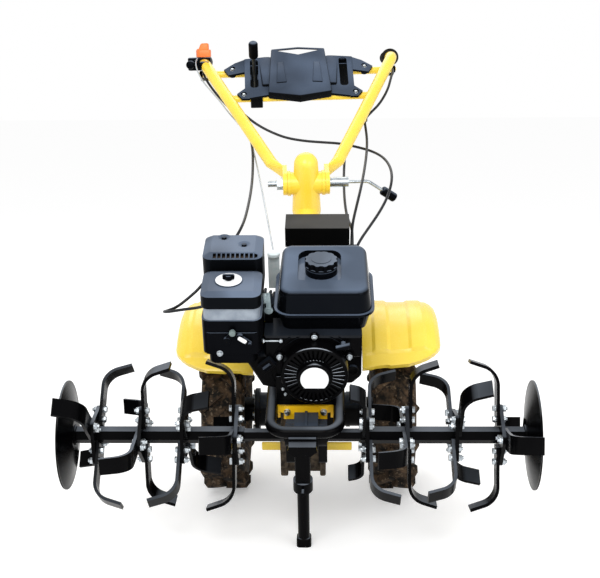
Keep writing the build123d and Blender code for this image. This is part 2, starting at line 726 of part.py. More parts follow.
def build_engine():
    """Crankcase with its leaning finned cylinder, head, fan cover and recoil starter."""
    tall = FAN_TOP - BASE_Z
    wide = BLOCK_RIGHT - BLOCK_LEFT
    face = Pos(BLOCK_LEFT + wide / 2, BASE_Z + tall / 2) * RectangleRounded(wide, tall, 16)
    crankcase = front_prism(face, BLOCK_Y, BLOCK_REAR)
    tilt = radians(CYL_TILT)
    bore = Plane(origin=(CRANK_X, CYL_Y, CRANK_Z), x_dir=(0, 1, 0), z_dir=(-cos(tilt), 0, sin(tilt)))
    head_at = FIN_START + FIN_COUNT * FIN_PITCH
    crankcase += extrude(bore * Circle(CYL_R), head_at)
    fin = RectangleRounded(FIN_SIZE, FIN_SIZE, 12)
    for i in range(FIN_COUNT):
        crankcase += extrude(bore.offset(FIN_START + i * FIN_PITCH) * fin, FIN_T)
    parts["engine_block"] = crankcase

    head = extrude(bore.offset(head_at) * RectangleRounded(FIN_SIZE - 16, FIN_SIZE - 16, 10), HEAD_LEN)
    for i in range(3):
        head += extrude(bore.offset(head_at + i * (HEAD_LEN - FIN_T) / 2) * fin, FIN_T)
    lid = RectangleRounded(FIN_SIZE - 12, FIN_SIZE - 18, 14)
    cover = extrude(bore.offset(head_at + HEAD_LEN) * lid, VALVE_COVER_LEN)
    head += fillet(cover.faces().sort_by(Axis.X)[0].edges(), 8)
    parts["cylinder_head"] = head

    low = CRANK_Z - FAN_R
    fan = front_prism(
        outline((FAN_LEFT, AIR_BASE_Z), (AIR_RIGHT + 2, AIR_BASE_Z), (AIR_RIGHT + 2, FAN_TOP),
                (FAN_RIGHT, FAN_TOP), (FAN_RIGHT, FAN_STEP_Z), (CRANK_X + FAN_R, FAN_STEP_Z - 4),
                (CRANK_X + FAN_R, CRANK_Z), (CRANK_X, low), (CRANK_X - FAN_R * 0.6, low),
                (AIR_RIGHT - 4, low + 18)),
        FAN_Y, BLOCK_Y,
    )
    fan += cylinder_y(CRANK_X, CRANK_Z, FAN_Y, BLOCK_Y, FAN_R)
    front_edges = fan.faces().sort_by(Axis.Y)[0].edges()
    fan = chamfer(front_edges, 4)
    for radius in FAN_GROOVES:
        groove = cylinder_y(CRANK_X, CRANK_Z, FAN_Y - 1, FAN_Y + 2, radius + 1.5)
        fan -= groove - cylinder_y(CRANK_X, CRANK_Z, FAN_Y - 1, FAN_Y + 2, radius - 1.5)
    switch = Pos(SWITCH_X, SWITCH_Y, SWITCH_Z) * Rot(0, -SWITCH_LEAN, 0)
    half = ROCKER_W / 2
    fan += switch * block(-SWITCH_W / 2, SWITCH_W / 2, -5, FAN_Y + 2 - SWITCH_Y, -SWITCH_H / 2, SWITCH_H / 2)
    fan -= switch * bar_x(ROCKER_R + GAP, -half - GAP, half + GAP, 0, 0)
    fan -= switch * bar_x(ROCKER_PIN_R, -half - 4, half + 4, 0, 0)
    parts["fan_cover"] = fan
    rocker = bar_x(ROCKER_R, -half, half, 0, 0)
    rocker += bar_x(ROCKER_PIN_R - RUN, -half - 3.5, half + 3.5, 0, 0)
    for side in (-1, 1):
        flat = Pos(0, -ROCKER_R, side * ROCKER_R) * Rot(side * 25, 0, 0)
        rocker -= flat * Box(ROCKER_W + 10, 7, 2 * ROCKER_R - 3)
    parts["engine_switch"] = switch * rocker

    step = (FAN_Y - NOSE_Y) / 4
    dome = revolve(
        outline((0, FAN_Y), (STARTER_R, FAN_Y), (STARTER_R, FAN_Y - step),
                (STARTER_R - 4, FAN_Y - 1.7 * step), (STARTER_NOSE_R + 10, NOSE_Y + 0.6 * step),
                (STARTER_NOSE_R, NOSE_Y), (0, NOSE_Y)),
        Axis.Y,
    )
    slot_mid = (STARTER_NOSE_R + STARTER_R) / 2 + 4
    for i in range(STARTER_SLOTS):
        slot = Pos(slot_mid, NOSE_Y + 2 * step, 0) * Box(14, 3.2 * step, 5)
        dome -= Rot(0, i * 360 / STARTER_SLOTS, 0) * slot
    starter = Pos(CRANK_X, 0, CRANK_Z) * dome
    for angle in STARTER_EARS:
        x, z = polar(STARTER_BOLT_R, angle)
        ear = rod((CRANK_X + x, FAN_Y - 7, CRANK_Z + z), (CRANK_X + x, FAN_Y, CRANK_Z + z), 10)
        x, z = polar(STARTER_R - 4, angle)
        ear += rod((CRANK_X + x, FAN_Y - 7, CRANK_Z + z), (CRANK_X + x, FAN_Y, CRANK_Z + z), 12)
        starter += ear
    parts["recoil_starter"] = starter
    grip = rod((GRIP_X - 15, FAN_Y - 16, GRIP_Z - 4), (GRIP_X + 15, FAN_Y - 16, GRIP_Z + 4), 7)
    grip += cylinder_y(GRIP_X, GRIP_Z, FAN_Y - 12, FAN_Y, 6)
    parts["starter_grip"] = grip


def build_tank():
    """Pressed fuel tank with its seam flange, filler neck and fluted cap."""
    shell = Pos(TANK_X, TANK_Y) * RectangleRounded(TANK_W - 12, TANK_D - 12, TANK_CORNER - 6)
    seam = Pos(TANK_X, TANK_Y) * RectangleRounded(TANK_W, TANK_D, TANK_CORNER)
    slope = atan2(TANK_REAR_TOP - TANK_FRONT_TOP, TANK_D)
    upper = plan_prism(shell, TANK_SEAM, 2 * TANK_REAR_TOP - TANK_SEAM, taper=TANK_TAPER)
    lid = Pos(TANK_X, TANK_FRONT, TANK_FRONT_TOP) * Rot(degrees(slope), 0, 0)
    upper -= lid * Pos(0, TANK_D / 2, TANK_D) * Box(2 * TANK_W, 2 * TANK_D, 2 * TANK_D)
    upper = fillet(upper.faces().sort_by(Axis.Z)[-1].edges(), 16)
    lower = extrude(Pos(0, 0, TANK_SEAM) * shell, TANK_SEAM - FAN_TOP, dir=(0, 0, -1), taper=2 * TANK_TAPER)
    tank = upper + lower + plan_prism(seam, TANK_SEAM - SEAM_T / 2, TANK_SEAM + SEAM_T / 2)
    pad = RectangleRounded(PAD_RIGHT - PAD_LEFT, PAD_REAR - PAD_FRONT, PAD_CORNER)
    pad = Pos((PAD_LEFT + PAD_RIGHT) / 2, (PAD_FRONT + PAD_REAR) / 2) * pad
    tank -= plan_prism(pad, PAD_Z, 2 * TANK_REAR_TOP - PAD_Z)
    collar = rod((CAP_X, CAP_Y, PAD_Z - 1), (CAP_X, CAP_Y, CAP_Z - 1), CAP_R - 1)
    tank += chamfer(collar.faces().sort_by(Axis.Z)[-1].edges(), 2)
    tank += rod((CAP_X, CAP_Y, TANK_SEAM), (CAP_X, CAP_Y, CAP_Z + NECK_RING_H), NECK_RING_R)
    parts["fuel_tank"] = tank
    cap = rod((CAP_X, CAP_Y, CAP_Z), (CAP_X, CAP_Y, CAP_Z + CAP_H), CAP_R)
    cap = fillet(cap.faces().sort_by(Axis.Z)[-1].edges(), 2.5)
    for i in range(CAP_LOBES):
        x, y = polar(CAP_R + LOBE_R - LOBE_DEPTH, i * 360 / CAP_LOBES)
        flute = rod((CAP_X + x, CAP_Y + y, CAP_Z + 3), (CAP_X + x, CAP_Y + y, CAP_Z + CAP_H + 1), LOBE_R)
        cap -= flute
    cap += rod((CAP_X, CAP_Y, CAP_Z + CAP_H - 2), (CAP_X, CAP_Y, CAP_Z + CAP_H + 1), CAP_R * 0.6)
    cap -= rod((CAP_X, CAP_Y, CAP_Z - 1), (CAP_X, CAP_Y, CAP_Z + NECK_RING_H + 1), NECK_RING_R + RUN)
    parts["fuel_cap"] = cap


def build_air_cleaner():
    """Air cleaner in base, filter band and cover, with its turning knob, and the levers on its base."""
    wide = AIR_RIGHT - AIR_LEFT
    deep = AIR_REAR - AIR_FRONT
    centre = Pos(AIR_X, AIR_Y)
    base = plan_prism(centre * RectangleRounded(wide, deep, AIR_CORNER), AIR_BASE_Z + 26, BAND_Z)
    base += plan_prism(centre * RectangleRounded(wide - 24, deep - 10, AIR_CORNER), AIR_BASE_Z, BAND_Z - 40)
    base -= block(AIR_LEFT - 1, AIR_RIGHT + 1, AIR_FRONT - 1, AIR_FRONT + 3, BAND_Z - 30, BAND_Z - 26)
    for x, z in ((CHOKE_X, CHOKE_Z), (TAP_X, TAP_Z)):
        base -= cylinder_y(x, z, AIR_FRONT - 1, AIR_FRONT + 14, LEVER_PIN_R)
    parts["air_cleaner_base"] = base
    band = centre * RectangleRounded(wide - 8, deep - 8, AIR_CORNER - 4)
    parts["air_cleaner_band"] = plan_prism(band, BAND_Z, COVER_Z)
    shoulder = COVER_TOP - COVER_BEVEL_H
    rim = centre * RectangleRounded(wide, deep, AIR_CORNER)
    cover = plan_prism(rim, COVER_Z, shoulder)
    cover += plan_prism(rim, shoulder, COVER_TOP, taper=degrees(atan2(COVER_BEVEL, COVER_BEVEL_H)))
    cover += rod((KNOB_X, KNOB_Y, COVER_TOP - 4), (KNOB_X, KNOB_Y, COVER_TOP + 2), KNOB_DISC_R)
    cover -= rod((KNOB_X, KNOB_Y, COVER_TOP - 12), (KNOB_X, KNOB_Y, COVER_TOP + 3), LEVER_PIN_R)
    parts["air_cleaner_cover"] = cover
    seat = COVER_TOP + 2 + GAP
    knob = rod((KNOB_X, KNOB_Y, COVER_TOP - 10), (KNOB_X, KNOB_Y, seat + 4), LEVER_PIN_R - RUN)
    knob += rod((KNOB_X, KNOB_Y, seat), (KNOB_X, KNOB_Y, seat + 10), KNOB_HALF * 0.5)
    wings = block(KNOB_X - KNOB_HALF, KNOB_X + KNOB_HALF, KNOB_Y - 2, KNOB_Y + 2, seat + 1, seat + 13)
    knob += fillet(wings.edges().filter_by(Axis.Y), 4)
    parts["air_cleaner_knob"] = knob
    for name, x, z, lean in (("choke_lever", CHOKE_X, CHOKE_Z, 60), ("fuel_tap", TAP_X, TAP_Z, -35)):
        face = AIR_FRONT - GAP
        lever = cylinder_y(x, z, face - 4, AIR_FRONT + 12, LEVER_PIN_R - RUN)
        lever += cylinder_y(x, z, face - 8, face, 8)
        tip = polar(26, lean)
        arm = make_hull(list((Pos(x, z) * Circle(6)).edges())
                        + list((Pos(x + tip[0], z + tip[1]) * Circle(5)).edges()))
        lever += front_prism(arm, face - 7, face - 2)
        lever += cylinder_y(x + tip[0], z + tip[1], face - 14, face - 4, 4.5)
        parts[name] = lever


def guard_form(inset):
    """Filled form of the muffler guard, with wide bevels round its top, drawn in by an inset."""
    wide = GUARD_RIGHT - GUARD_LEFT - 2 * inset
    deep = GUARD_REAR - GUARD_FRONT - 2 * inset
    plan = Pos((GUARD_LEFT + GUARD_RIGHT) / 2, (GUARD_FRONT + GUARD_REAR) / 2)
    plan *= RectangleRounded(wide, deep, GUARD_CORNER - inset)
    shoulder = GUARD_TOP - GUARD_BEVEL_H - inset / 2
    form = plan_prism(plan, GUARD_BOTTOM - inset, shoulder)
    top = GUARD_TOP - inset
    return form + plan_prism(plan, shoulder, top, taper=degrees(atan2(GUARD_BEVEL, GUARD_BEVEL_H)))


def build_exhaust():
    """Muffler can with its pipe to the head, under a louvred sheet guard."""
    inset = 8
    x0, x1 = GUARD_LEFT + inset, GUARD_RIGHT - inset
    y0, y1 = GUARD_FRONT + inset, GUARD_REAR - inset
    z0, z1 = GUARD_BOTTOM + inset, GUARD_TOP - inset - GUARD_WALL
    can = fillet(block(x0, x1, y0, y1, z0, z1).edges(), 12)
    dish_floor = GUARD_TOP - SCREW_DISH_H - GUARD_WALL
    for x, y in GUARD_SCREWS:
        can += rod((x, y, z1 - 14), (x, y, dish_floor), 7)
    pipe_x = (x0 + x1) / 2 + 22
    can += rod((pipe_x, CYL_Y + 8, z0 + 20), (pipe_x, CYL_Y + 8, CRANK_Z + 80), 14)
    can -= parts["cylinder_head"]
    can = max(can.solids(), key=lambda s: s.volume)
    parts["muffler"] = Part() + can
    guard = guard_form(0) - guard_form(GUARD_WALL)
    for x, y in GUARD_SCREWS:
        guard -= rod((x, y, dish_floor), (x, y, GUARD_TOP + 1), SCREW_DISH_R)
        cup = outline((3, 0), (SCREW_DISH_R, SCREW_DISH_H), (SCREW_DISH_R, SCREW_DISH_H + GUARD_WALL),
                      (3, GUARD_WALL))
        front = Plane(origin=(0, 0, 0), x_dir=(1, 0, 0), z_dir=FRONT_UP)
        guard += Pos(x, y, dish_floor) * revolve(front * cup, Axis.Z)
    first = GUARD_LEFT + GUARD_BEVEL + LOUVRE_W
    step = (GUARD_RIGHT - LOUVRE_W - first) / LOUVRES
    for i in range(LOUVRES):
        x = first + i * step
        guard -= block(x, x + LOUVRE_W, GUARD_FRONT - 1, GUARD_FRONT + GUARD_BEVEL - 3,
                       GUARD_TOP - GUARD_BEVEL_H + 1, GUARD_TOP)
    for z in (GUARD_BOTTOM + 14, GUARD_BOTTOM + 30, GUARD_BOTTOM + 46):
        guard -= block(GUARD_LEFT - 1, GUARD_LEFT + 10, GUARD_FRONT + 16, GUARD_REAR - 16, z, z + 7)
    parts["muffler_guard"] = guard


def build_controls():
    """Cable post, and the bracket with the throttle arm beside the tank."""
    half = POST_W / 2
    foot = FAN_TOP - 8
    plate = Pos(POST_X, (foot + POST_TOP) / 2) * RectangleRounded(POST_W, POST_TOP - foot, half * 0.6)
    post = front_prism(plate, POST_Y - POST_T, POST_Y)
    post += block(POST_X - half, BLOCK_LEFT + 12, BLOCK_REAR, POST_Y, foot, foot + 6)
    post += cylinder_y(POST_X, POST_TOP - POST_W / 3, POST_Y, POST_Y + FERRULE_LEN / 2, FERRULE_R)
    bracket = block(ARM_X - 9, ARM_X + 9, ARM_Y + 6, ARM_Y + 9, FAN_TOP, ARM_Z + 14)
    bracket += block(ARM_X - 9, ARM_X + 9, ARM_Y - 14, ARM_Y + 9, FAN_TOP, FAN_TOP + 3)
    bracket -= cylinder_y(ARM_X, ARM_Z, ARM_Y, ARM_Y + 12, LEVER_PIN_R)
    parts["control_post"] = Compound(children=[post.solid(), bracket.solid()])
    face = ARM_Y + 6 - GAP
    arm = cylinder_y(ARM_X, ARM_Z, face - 6, ARM_Y + 9, LEVER_PIN_R - RUN)
    arm += cylinder_y(ARM_X, ARM_Z, face - 4, face, 9.5)
    blade = make_hull(list((Pos(ARM_X, ARM_Z) * Circle(6)).edges())
                      + list((Pos(ARM_X, ARM_Z + 40) * Circle(4)).edges()))
    arm += front_prism(blade, face - 3, face)
    parts["throttle_arm"] = arm


def build_neck():
    """Yellow neck that carries the handle: flange, arm, tapered post and the pivot sleeve."""
    neck = front_prism(Pos(NECK_X, NECK_FOOT_Z) * RectangleRounded(96, 84, 14), CASE_REAR, CASE_REAR + 12)
    neck += rod((NECK_X, CASE_REAR + 6, NECK_FOOT_Z), (NECK_X, PIVOT_Y, ELBOW_Z), NECK_LOW_R - 3)
    neck += Pos(NECK_X, PIVOT_Y, ELBOW_Z) * Sphere(NECK_LOW_R)
    neck += Pos(NECK_X, PIVOT_Y, ELBOW_Z) * Cone(NECK_LOW_R, NECK_TOP_R, NECK_TOP_Z - ELBOW_Z, align=BASE)
    neck += Pos(NECK_X, PIVOT_Y, NECK_TOP_Z) * Sphere(NECK_TOP_R)
    cross = bar_x(SLEEVE_R, NECK_X - SLEEVE_HALF, NECK_X + SLEEVE_HALF, PIVOT_Y, PIVOT_Z)
    for side in (-1, 1):
        edge = NECK_X + side * (SLEEVE_HALF - 4)
        cross += bar_x(SLEEVE_R + 3, edge - 4, edge + 4, PIVOT_Y, PIVOT_Z)
    neck += turned(cross)
    neck -= turned(bar_x(BOLT_R + RUN, NECK_X - 60, NECK_X + 60, PIVOT_Y, PIVOT_Z))
    front = block(-200, 200, CASE_FRONT, CASE_REAR, 200, 600)
    parts["handle_neck"] = neck - front

    outside = SLEEVE_HALF + 2 * GAP + HUB_T
    bolt = bar_x(BOLT_R, NECK_X - outside - 38, NECK_X + outside + 30, PIVOT_Y, PIVOT_Z)
    bolt += hex_x(27, NECK_X - outside - 15, NECK_X - outside, PIVOT_Y, PIVOT_Z)
    handle_parts["pivot_bolt"] = bolt
    start = NECK_X + outside
    sleeve = bar_x(13, start, start + LOCK_LEN, PIVOT_Y, PIVOT_Z)
    path = [(start + LOCK_LEN - 4, PIVOT_Y, PIVOT_Z), (start + LOCK_LEN + 50, PIVOT_Y, PIVOT_Z),
            (start + LOCK_LEN + 90, PIVOT_Y + 4, PIVOT_Z - 30)]
    sleeve += tube(path, 4.5, 24)
    aim = (Vector(path[2]) - Vector(path[1])).normalized()
    sleeve -= bar_x(BOLT_R + RUN, start - 1, start + 34, PIVOT_Y, PIVOT_Z)
    handle_parts["lock_lever"] = sleeve
    knob_start = Vector(path[2]) - aim * 4
    knob = rod(knob_start, knob_start + aim * 44, 12)
    knob = fillet(knob.edges().filter_by(GeomType.CIRCLE), 5)
    handle_parts["lock_knob"] = knob - sleeve


def tube(points, radius, bend):
    """Round bar along straight runs joined by arcs."""
    path = FilletPolyline(*points, radius=bend) if len(points) > 2 else Line(*points)
    section = Plane(origin=points[0], z_dir=Vector(points[1]) - Vector(points[0])) * Circle(radius)
    return sweep(section, path=path)


def console_plane():
    """Plane of the console: x across, y up the slope of the arms from its lower edge."""
    slope = radians(ARM_SLOPE)
    y = PIVOT_Y + CONSOLE_START * cos(slope)
    z = PIVOT_Z + CONSOLE_START * sin(slope)
    return Plane(origin=(NECK_X, y, z), x_dir=(1, 0, 0), z_dir=(0, -sin(slope), cos(slope)))


def grip_plane(side):
    """Plane beside a grip: x along it to the rear, y up, z across to the right."""
    pitch = radians(PARK_PITCH)
    start = (NECK_X + side * GRIP_HALF, BEND_Y, BEND_Z)
    return Plane(origin=start, x_dir=(0, cos(pitch), -sin(pitch)), z_dir=(1, 0, 0))


def on_grip(side, sketch, x0, x1):
    """Outline beside a grip, carried across it from x0 to x1 outwards."""
    solid = extrude(grip_plane(1) * Pos(0, 0, x0) * sketch, x1 - x0)
    return mirror(solid, Plane(origin=(NECK_X, 0, 0), z_dir=(1, 0, 0))) if side < 0 else solid


def along_grip(side, u0, u1, radius):
    """Round bar on the axis of a grip."""
    plane = grip_plane(side)
    return rod(plane.from_local_coords((u0, 0, 0)), plane.from_local_coords((u1, 0, 0)), radius)


def build_handle():
    """Handle frame, grips, hand levers and the throttle."""
    slope = radians(ARM_SLOPE)
    frame = Part()
    for side in (-1, 1):
        hub = NECK_X + side * HUB_X
        far = (PIVOT_Y + HUB_REACH * cos(slope), PIVOT_Z + HUB_REACH * sin(slope))
        paddle = make_hull(list((Pos(PIVOT_Y, PIVOT_Z) * Circle(HUB_R)).edges())
                           + list((Pos(*far) * Circle(HUB_R * 0.7)).edges()))
        frame += side_prism(paddle, hub - HUB_T / 2, hub + HUB_T / 2)
        bend = (NECK_X + side * GRIP_HALF, BEND_Y, BEND_Z)
        pivot = Vector(hub, PIVOT_Y, PIVOT_Z)
        aim = (Vector(bend) - pivot).normalized()
        start = pivot + aim * ARM_START
        blade = Plane(origin=(hub, *far), x_dir=(1, 0, 0), z_dir=(0, cos(slope), sin(slope)))
        neck_end = Plane(origin=start, x_dir=(1, 0, 0), z_dir=aim) * Circle(ARM_R)
        frame += loft([blade * Ellipse(HUB_T / 2 - GAP, HUB_R * 0.7 - GAP), neck_end])
        end = grip_plane(side).from_local_coords((GRIP_RUN, 0, 0))
        frame += tube([tuple(start), bend, tuple(end)], ARM_R, ARM_BEND)
        lug = make_hull(list((Pos(LEVER_AT, -LEVER_DROP * 0.75) * Circle(9)).edges())
                        + list((Pos(LEVER_AT, -ARM_R / 2) * Rectangle(22, 6)).edges()))
        frame += on_grip(side, lug, -4, 4)
        frame += on_grip(side, Pos(LEVER_AT, -LEVER_DROP * 0.75) * Circle(LEVER_PIN - RUN), -4, 15)
    for at in (CROSS_LOW, CROSS_HIGH):
        share = at * cos(slope) / (BEND_Y - PIVOT_Y)
        half = HUB_X + (GRIP_HALF - HUB_X) * share
        y = PIVOT_Y + at * cos(slope) + CROSS_DROP * sin(slope)
        z = PIVOT_Z + at * sin(slope) - CROSS_DROP * cos(slope)
        frame += bar_x(CROSS_R, NECK_X - half, NECK_X + half, y, z)
    frame -= bar_x(BOLT_R + RUN, NECK_X - 90, NECK_X + 90, PIVOT_Y, PIVOT_Z)
    handle_parts["handle_frame"] = frame

    for side, name in ((-1, "left"), (1, "right")):
        start = GRIP_RUN - GRIP_LEN
        grip = along_grip(side, start, GRIP_RUN + 4, GRIP_R)
        grip += along_grip(side, start, start + 7, GRIP_FLANGE_R)
        for i in range(8):
            ring = start + 18 + i * 12
            grip += along_grip(side, ring, ring + 5, GRIP_R + 1.5)
        grip -= along_grip(side, start - 1, GRIP_RUN, ARM_R)
        handle_parts[f"grip_{name}"] = grip
        drop = LEVER_DROP * 0.75
        lever = on_grip(side, Pos(LEVER_AT, -drop) * Circle(10), 4 + GAP, 13)
        far = LEVER_AT + LEVER_LEN
        middle = LEVER_AT + LEVER_LEN * 0.55
        strip = make_face([
            Line((LEVER_AT + 6, -drop + 4), (LEVER_AT + 6, -drop - 4)),
            ThreePointArc((LEVER_AT + 6, -drop - 4), (middle, -LEVER_DROP - 8), (far, -LEVER_DROP - 3)),
            Line((far, -LEVER_DROP - 3), (far, -LEVER_DROP + 2)),
            ThreePointArc((far, -LEVER_DROP + 2), (middle, -LEVER_DROP - 3), (LEVER_AT + 6, -drop + 4)),
        ])
        lever += on_grip(side, strip, 4 + GAP, 13)
        past = Pos(middle + 18, -LEVER_DROP - 6) * Rectangle(LEVER_LEN - 48, 40)
        lever += on_grip(side, strip & past, -9, 9)
        lever -= on_grip(side, Pos(LEVER_AT, -drop) * Circle(LEVER_PIN), 0, 20)
        handle_parts[f"hand_lever_{name}"] = lever

    side = -1
    clamp = along_grip(side, LEVER_AT - 10, LEVER_AT + 7, 21)
    bottom = ARM_R - 2
    pod = Pos(LEVER_AT - 3, bottom + 8) * RectangleRounded(26, 20, 5)
    clamp += on_grip(side, pod, -14, 26)
    clamp -= handle_parts["handle_frame"]
    flip_axis = grip_plane(1).from_local_coords((LEVER_AT - 3, bottom + 18, 6))
    middle = Plane(origin=(NECK_X, 0, 0), z_dir=(1, 0, 0))
    up = Vector(0, sin(radians(PARK_PITCH)), cos(radians(PARK_PITCH)))
    hole = rod(flip_axis - up * 8, flip_axis + up, LEVER_PIN_R)
    clamp -= mirror(hole, middle)
    handle_parts["throttle_body"] = clamp
    flip = rod(flip_axis - up * 7, flip_axis + up * 6, LEVER_PIN_R - RUN)
    flip += rod(flip_axis + up * GAP, flip_axis + up * 7, 12)
    tongue = Plane(origin=flip_axis + up * GAP, x_dir=(1, 0, 0), z_dir=up)
    shape = make_hull(list(Circle(9).edges()) + list((Pos(-6, -30) * Circle(5)).edges()))
    flip += extrude(tongue * shape, 7)
    handle_parts["throttle_flip"] = mirror(flip, middle)


def build_console():
    """Console moulding between the arms, with its wing plates, and the gear lever in the left slot."""
    plane = console_plane()
    half = CONSOLE_HALF
    base = outline((-half * 0.62, 0), (half * 0.62, 0), (half, 26), (half, CONSOLE_LEN - 32),
                   (half * 0.74, CONSOLE_LEN), (-half * 0.74, CONSOLE_LEN), (-half, CONSOLE_LEN - 32),
                   (-half, 26))
    outer = extrude(Pos(0, 0, -WING_T) * base, CONSOLE_HIGH + WING_T + 10, taper=9)
    inner = extrude(Pos(0, 0, -WING_T) * offset(base, -CONSOLE_WALL), CONSOLE_HIGH + WING_T + 10, taper=9)
    lean = degrees(atan2(CONSOLE_HIGH - CONSOLE_LOW, CONSOLE_LEN))
    slab = Box(4 * half, 3 * CONSOLE_LEN, 2 * CONSOLE_LEN)
    sky = Rot(lean, 0, 0) * Pos(0, CONSOLE_LEN / 2, CONSOLE_LEN) * slab
    above = Pos(0, 0, CONSOLE_LOW) * sky
    under = Pos(0, 0, CONSOLE_LOW - CONSOLE_WALL) * sky
    shell = (outer - above) - (inner - under)
    for x in (-half * 0.45, half * 0.45):
        rib = Pos(x, CONSOLE_LEN * 0.45, 2) * Box(7, CONSOLE_LEN * 0.7, 5)
        shell += Pos(0, 0, CONSOLE_LOW - 1) * Rot(lean, 0, 0) * rib
    window = Pos(0, CONSOLE_LEN * 0.8) * Ellipse(half * 0.62, 15)
    window -= Pos(0, CONSOLE_LEN * 0.87) * Ellipse(half * 0.66, 14)
    shell -= extrude(Pos(0, 0, 5) * window, 80)
    for side in (-1, 1):
        spots = ((0.9, 8), (1.42, -4), (1.54, 14), (1.36, 32), (1.36, 96), (1.76, 102), (1.88, 128),
                 (1.6, 142), (0.9, 138))
        wing = extrude(Pos(0, 0, -WING_T) * outline(*[(side * half * x, y) for x, y in spots]), WING_T)
        wing -= inner - under
        shell += wing
        for x, y in ((1.38, 12), (1.66, 122)):
            shell -= Pos(side * half * x, y, -WING_T) * Cylinder(3.2, 40)
    chin_plane = Plane(origin=(0, 0, 2 - WING_T), x_dir=(1, 0, 0), z_dir=(0, 1, 0))
    chin = outline((-half * 0.62, 0), (-half * 0.4, CONSOLE_CHIN * 0.6), (0, CONSOLE_CHIN),
                   (half * 0.4, CONSOLE_CHIN * 0.6), (half * 0.62, 0))
    shell += extrude(chin_plane * chin, CONSOLE_WALL)
    slot_x = GEAR_X
    shell -= Pos(slot_x, GEAR_AT, 0) * Box(14, 64, 40)
    drop = GEAR_DROP
    for side in (-1, 1):
        shell += Pos(slot_x + side * 11, GEAR_AT, -drop / 2 - 2) * Box(5, GEAR_EAR, drop + 16)
    shell -= Pos(slot_x, GEAR_AT, -drop) * Rot(0, 90, 0) * Cylinder(LEVER_PIN_R, 60)
    handle_parts["console"] = plane * shell
    lever = Pos(slot_x, GEAR_AT, -drop) * Rot(0, 90, 0) * Cylinder(LEVER_PIN_R - RUN, 30)
    lever += Pos(slot_x, GEAR_AT, -drop) * Rot(0, 90, 0) * Cylinder(9, 16)
    lever += Pos(slot_x, GEAR_AT, -drop) * Cylinder(GEAR_ROD_R, drop + GEAR_TOP, align=BASE)
    handle_parts["gear_lever"] = plane * lever
    knob = Pos(slot_x, GEAR_AT, GEAR_TOP - 40) * Cylinder(GEAR_KNOB_R, 52, align=BASE)
    knob = fillet(knob.edges().filter_by(GeomType.CIRCLE), 8)
    handle_parts["gear_knob"] = plane * (knob - lever)


def ferrule(end, before, radius, length=FERRULE_LEN):
    """Fitting that goes on from a cable's end, a seat's width away from it."""
    aim = (Vector(end) - Vector(before)).normalized()
    return rod(Vector(end) + aim * CABLE_SEAT, Vector(end) + aim * length, radius)


def cable(name, points, radius):
    """Cable along straight runs, joined by arcs as large as the runs allow."""
    spots = [Vector(point) for point in points]
    runs = [b - a for a, b in zip(spots, spots[1:])]
    radii = []
    for before, after in zip(runs, runs[1:]):
        half_turn = radians(before.get_angle(after)) / 2
        radii.append(0.45 * min(before.length, after.length) / tan(half_turn))
    path = FilletPolyline(*points, radius=radii)
    solid = sweep(Plane(origin=spots[0], z_dir=runs[0]) * Circle(radius), path=path)
    print(name, "length", round(path.length), "smallest bend", round(min(radii)))
    return solid.solid()


def from_lever(side):
    """First two points of a hand lever's cable, straight out of its fitting below the grip."""
    plane = grip_plane(side)
    return [turned_point(plane.from_local_coords((u, v, 0))) for u, v in ((8, -30), (-36, -38))]


def from_throttle():
    """First two points of the throttle cable, straight out of the throttle's front face."""
    plane = grip_plane(-1)
    front = LEVER_AT - 16 - CABLE_SEAT
    return [turned_point(plane.from_local_coords((u, ARM_R + 6, -12))) for u in (front, front - 27)]


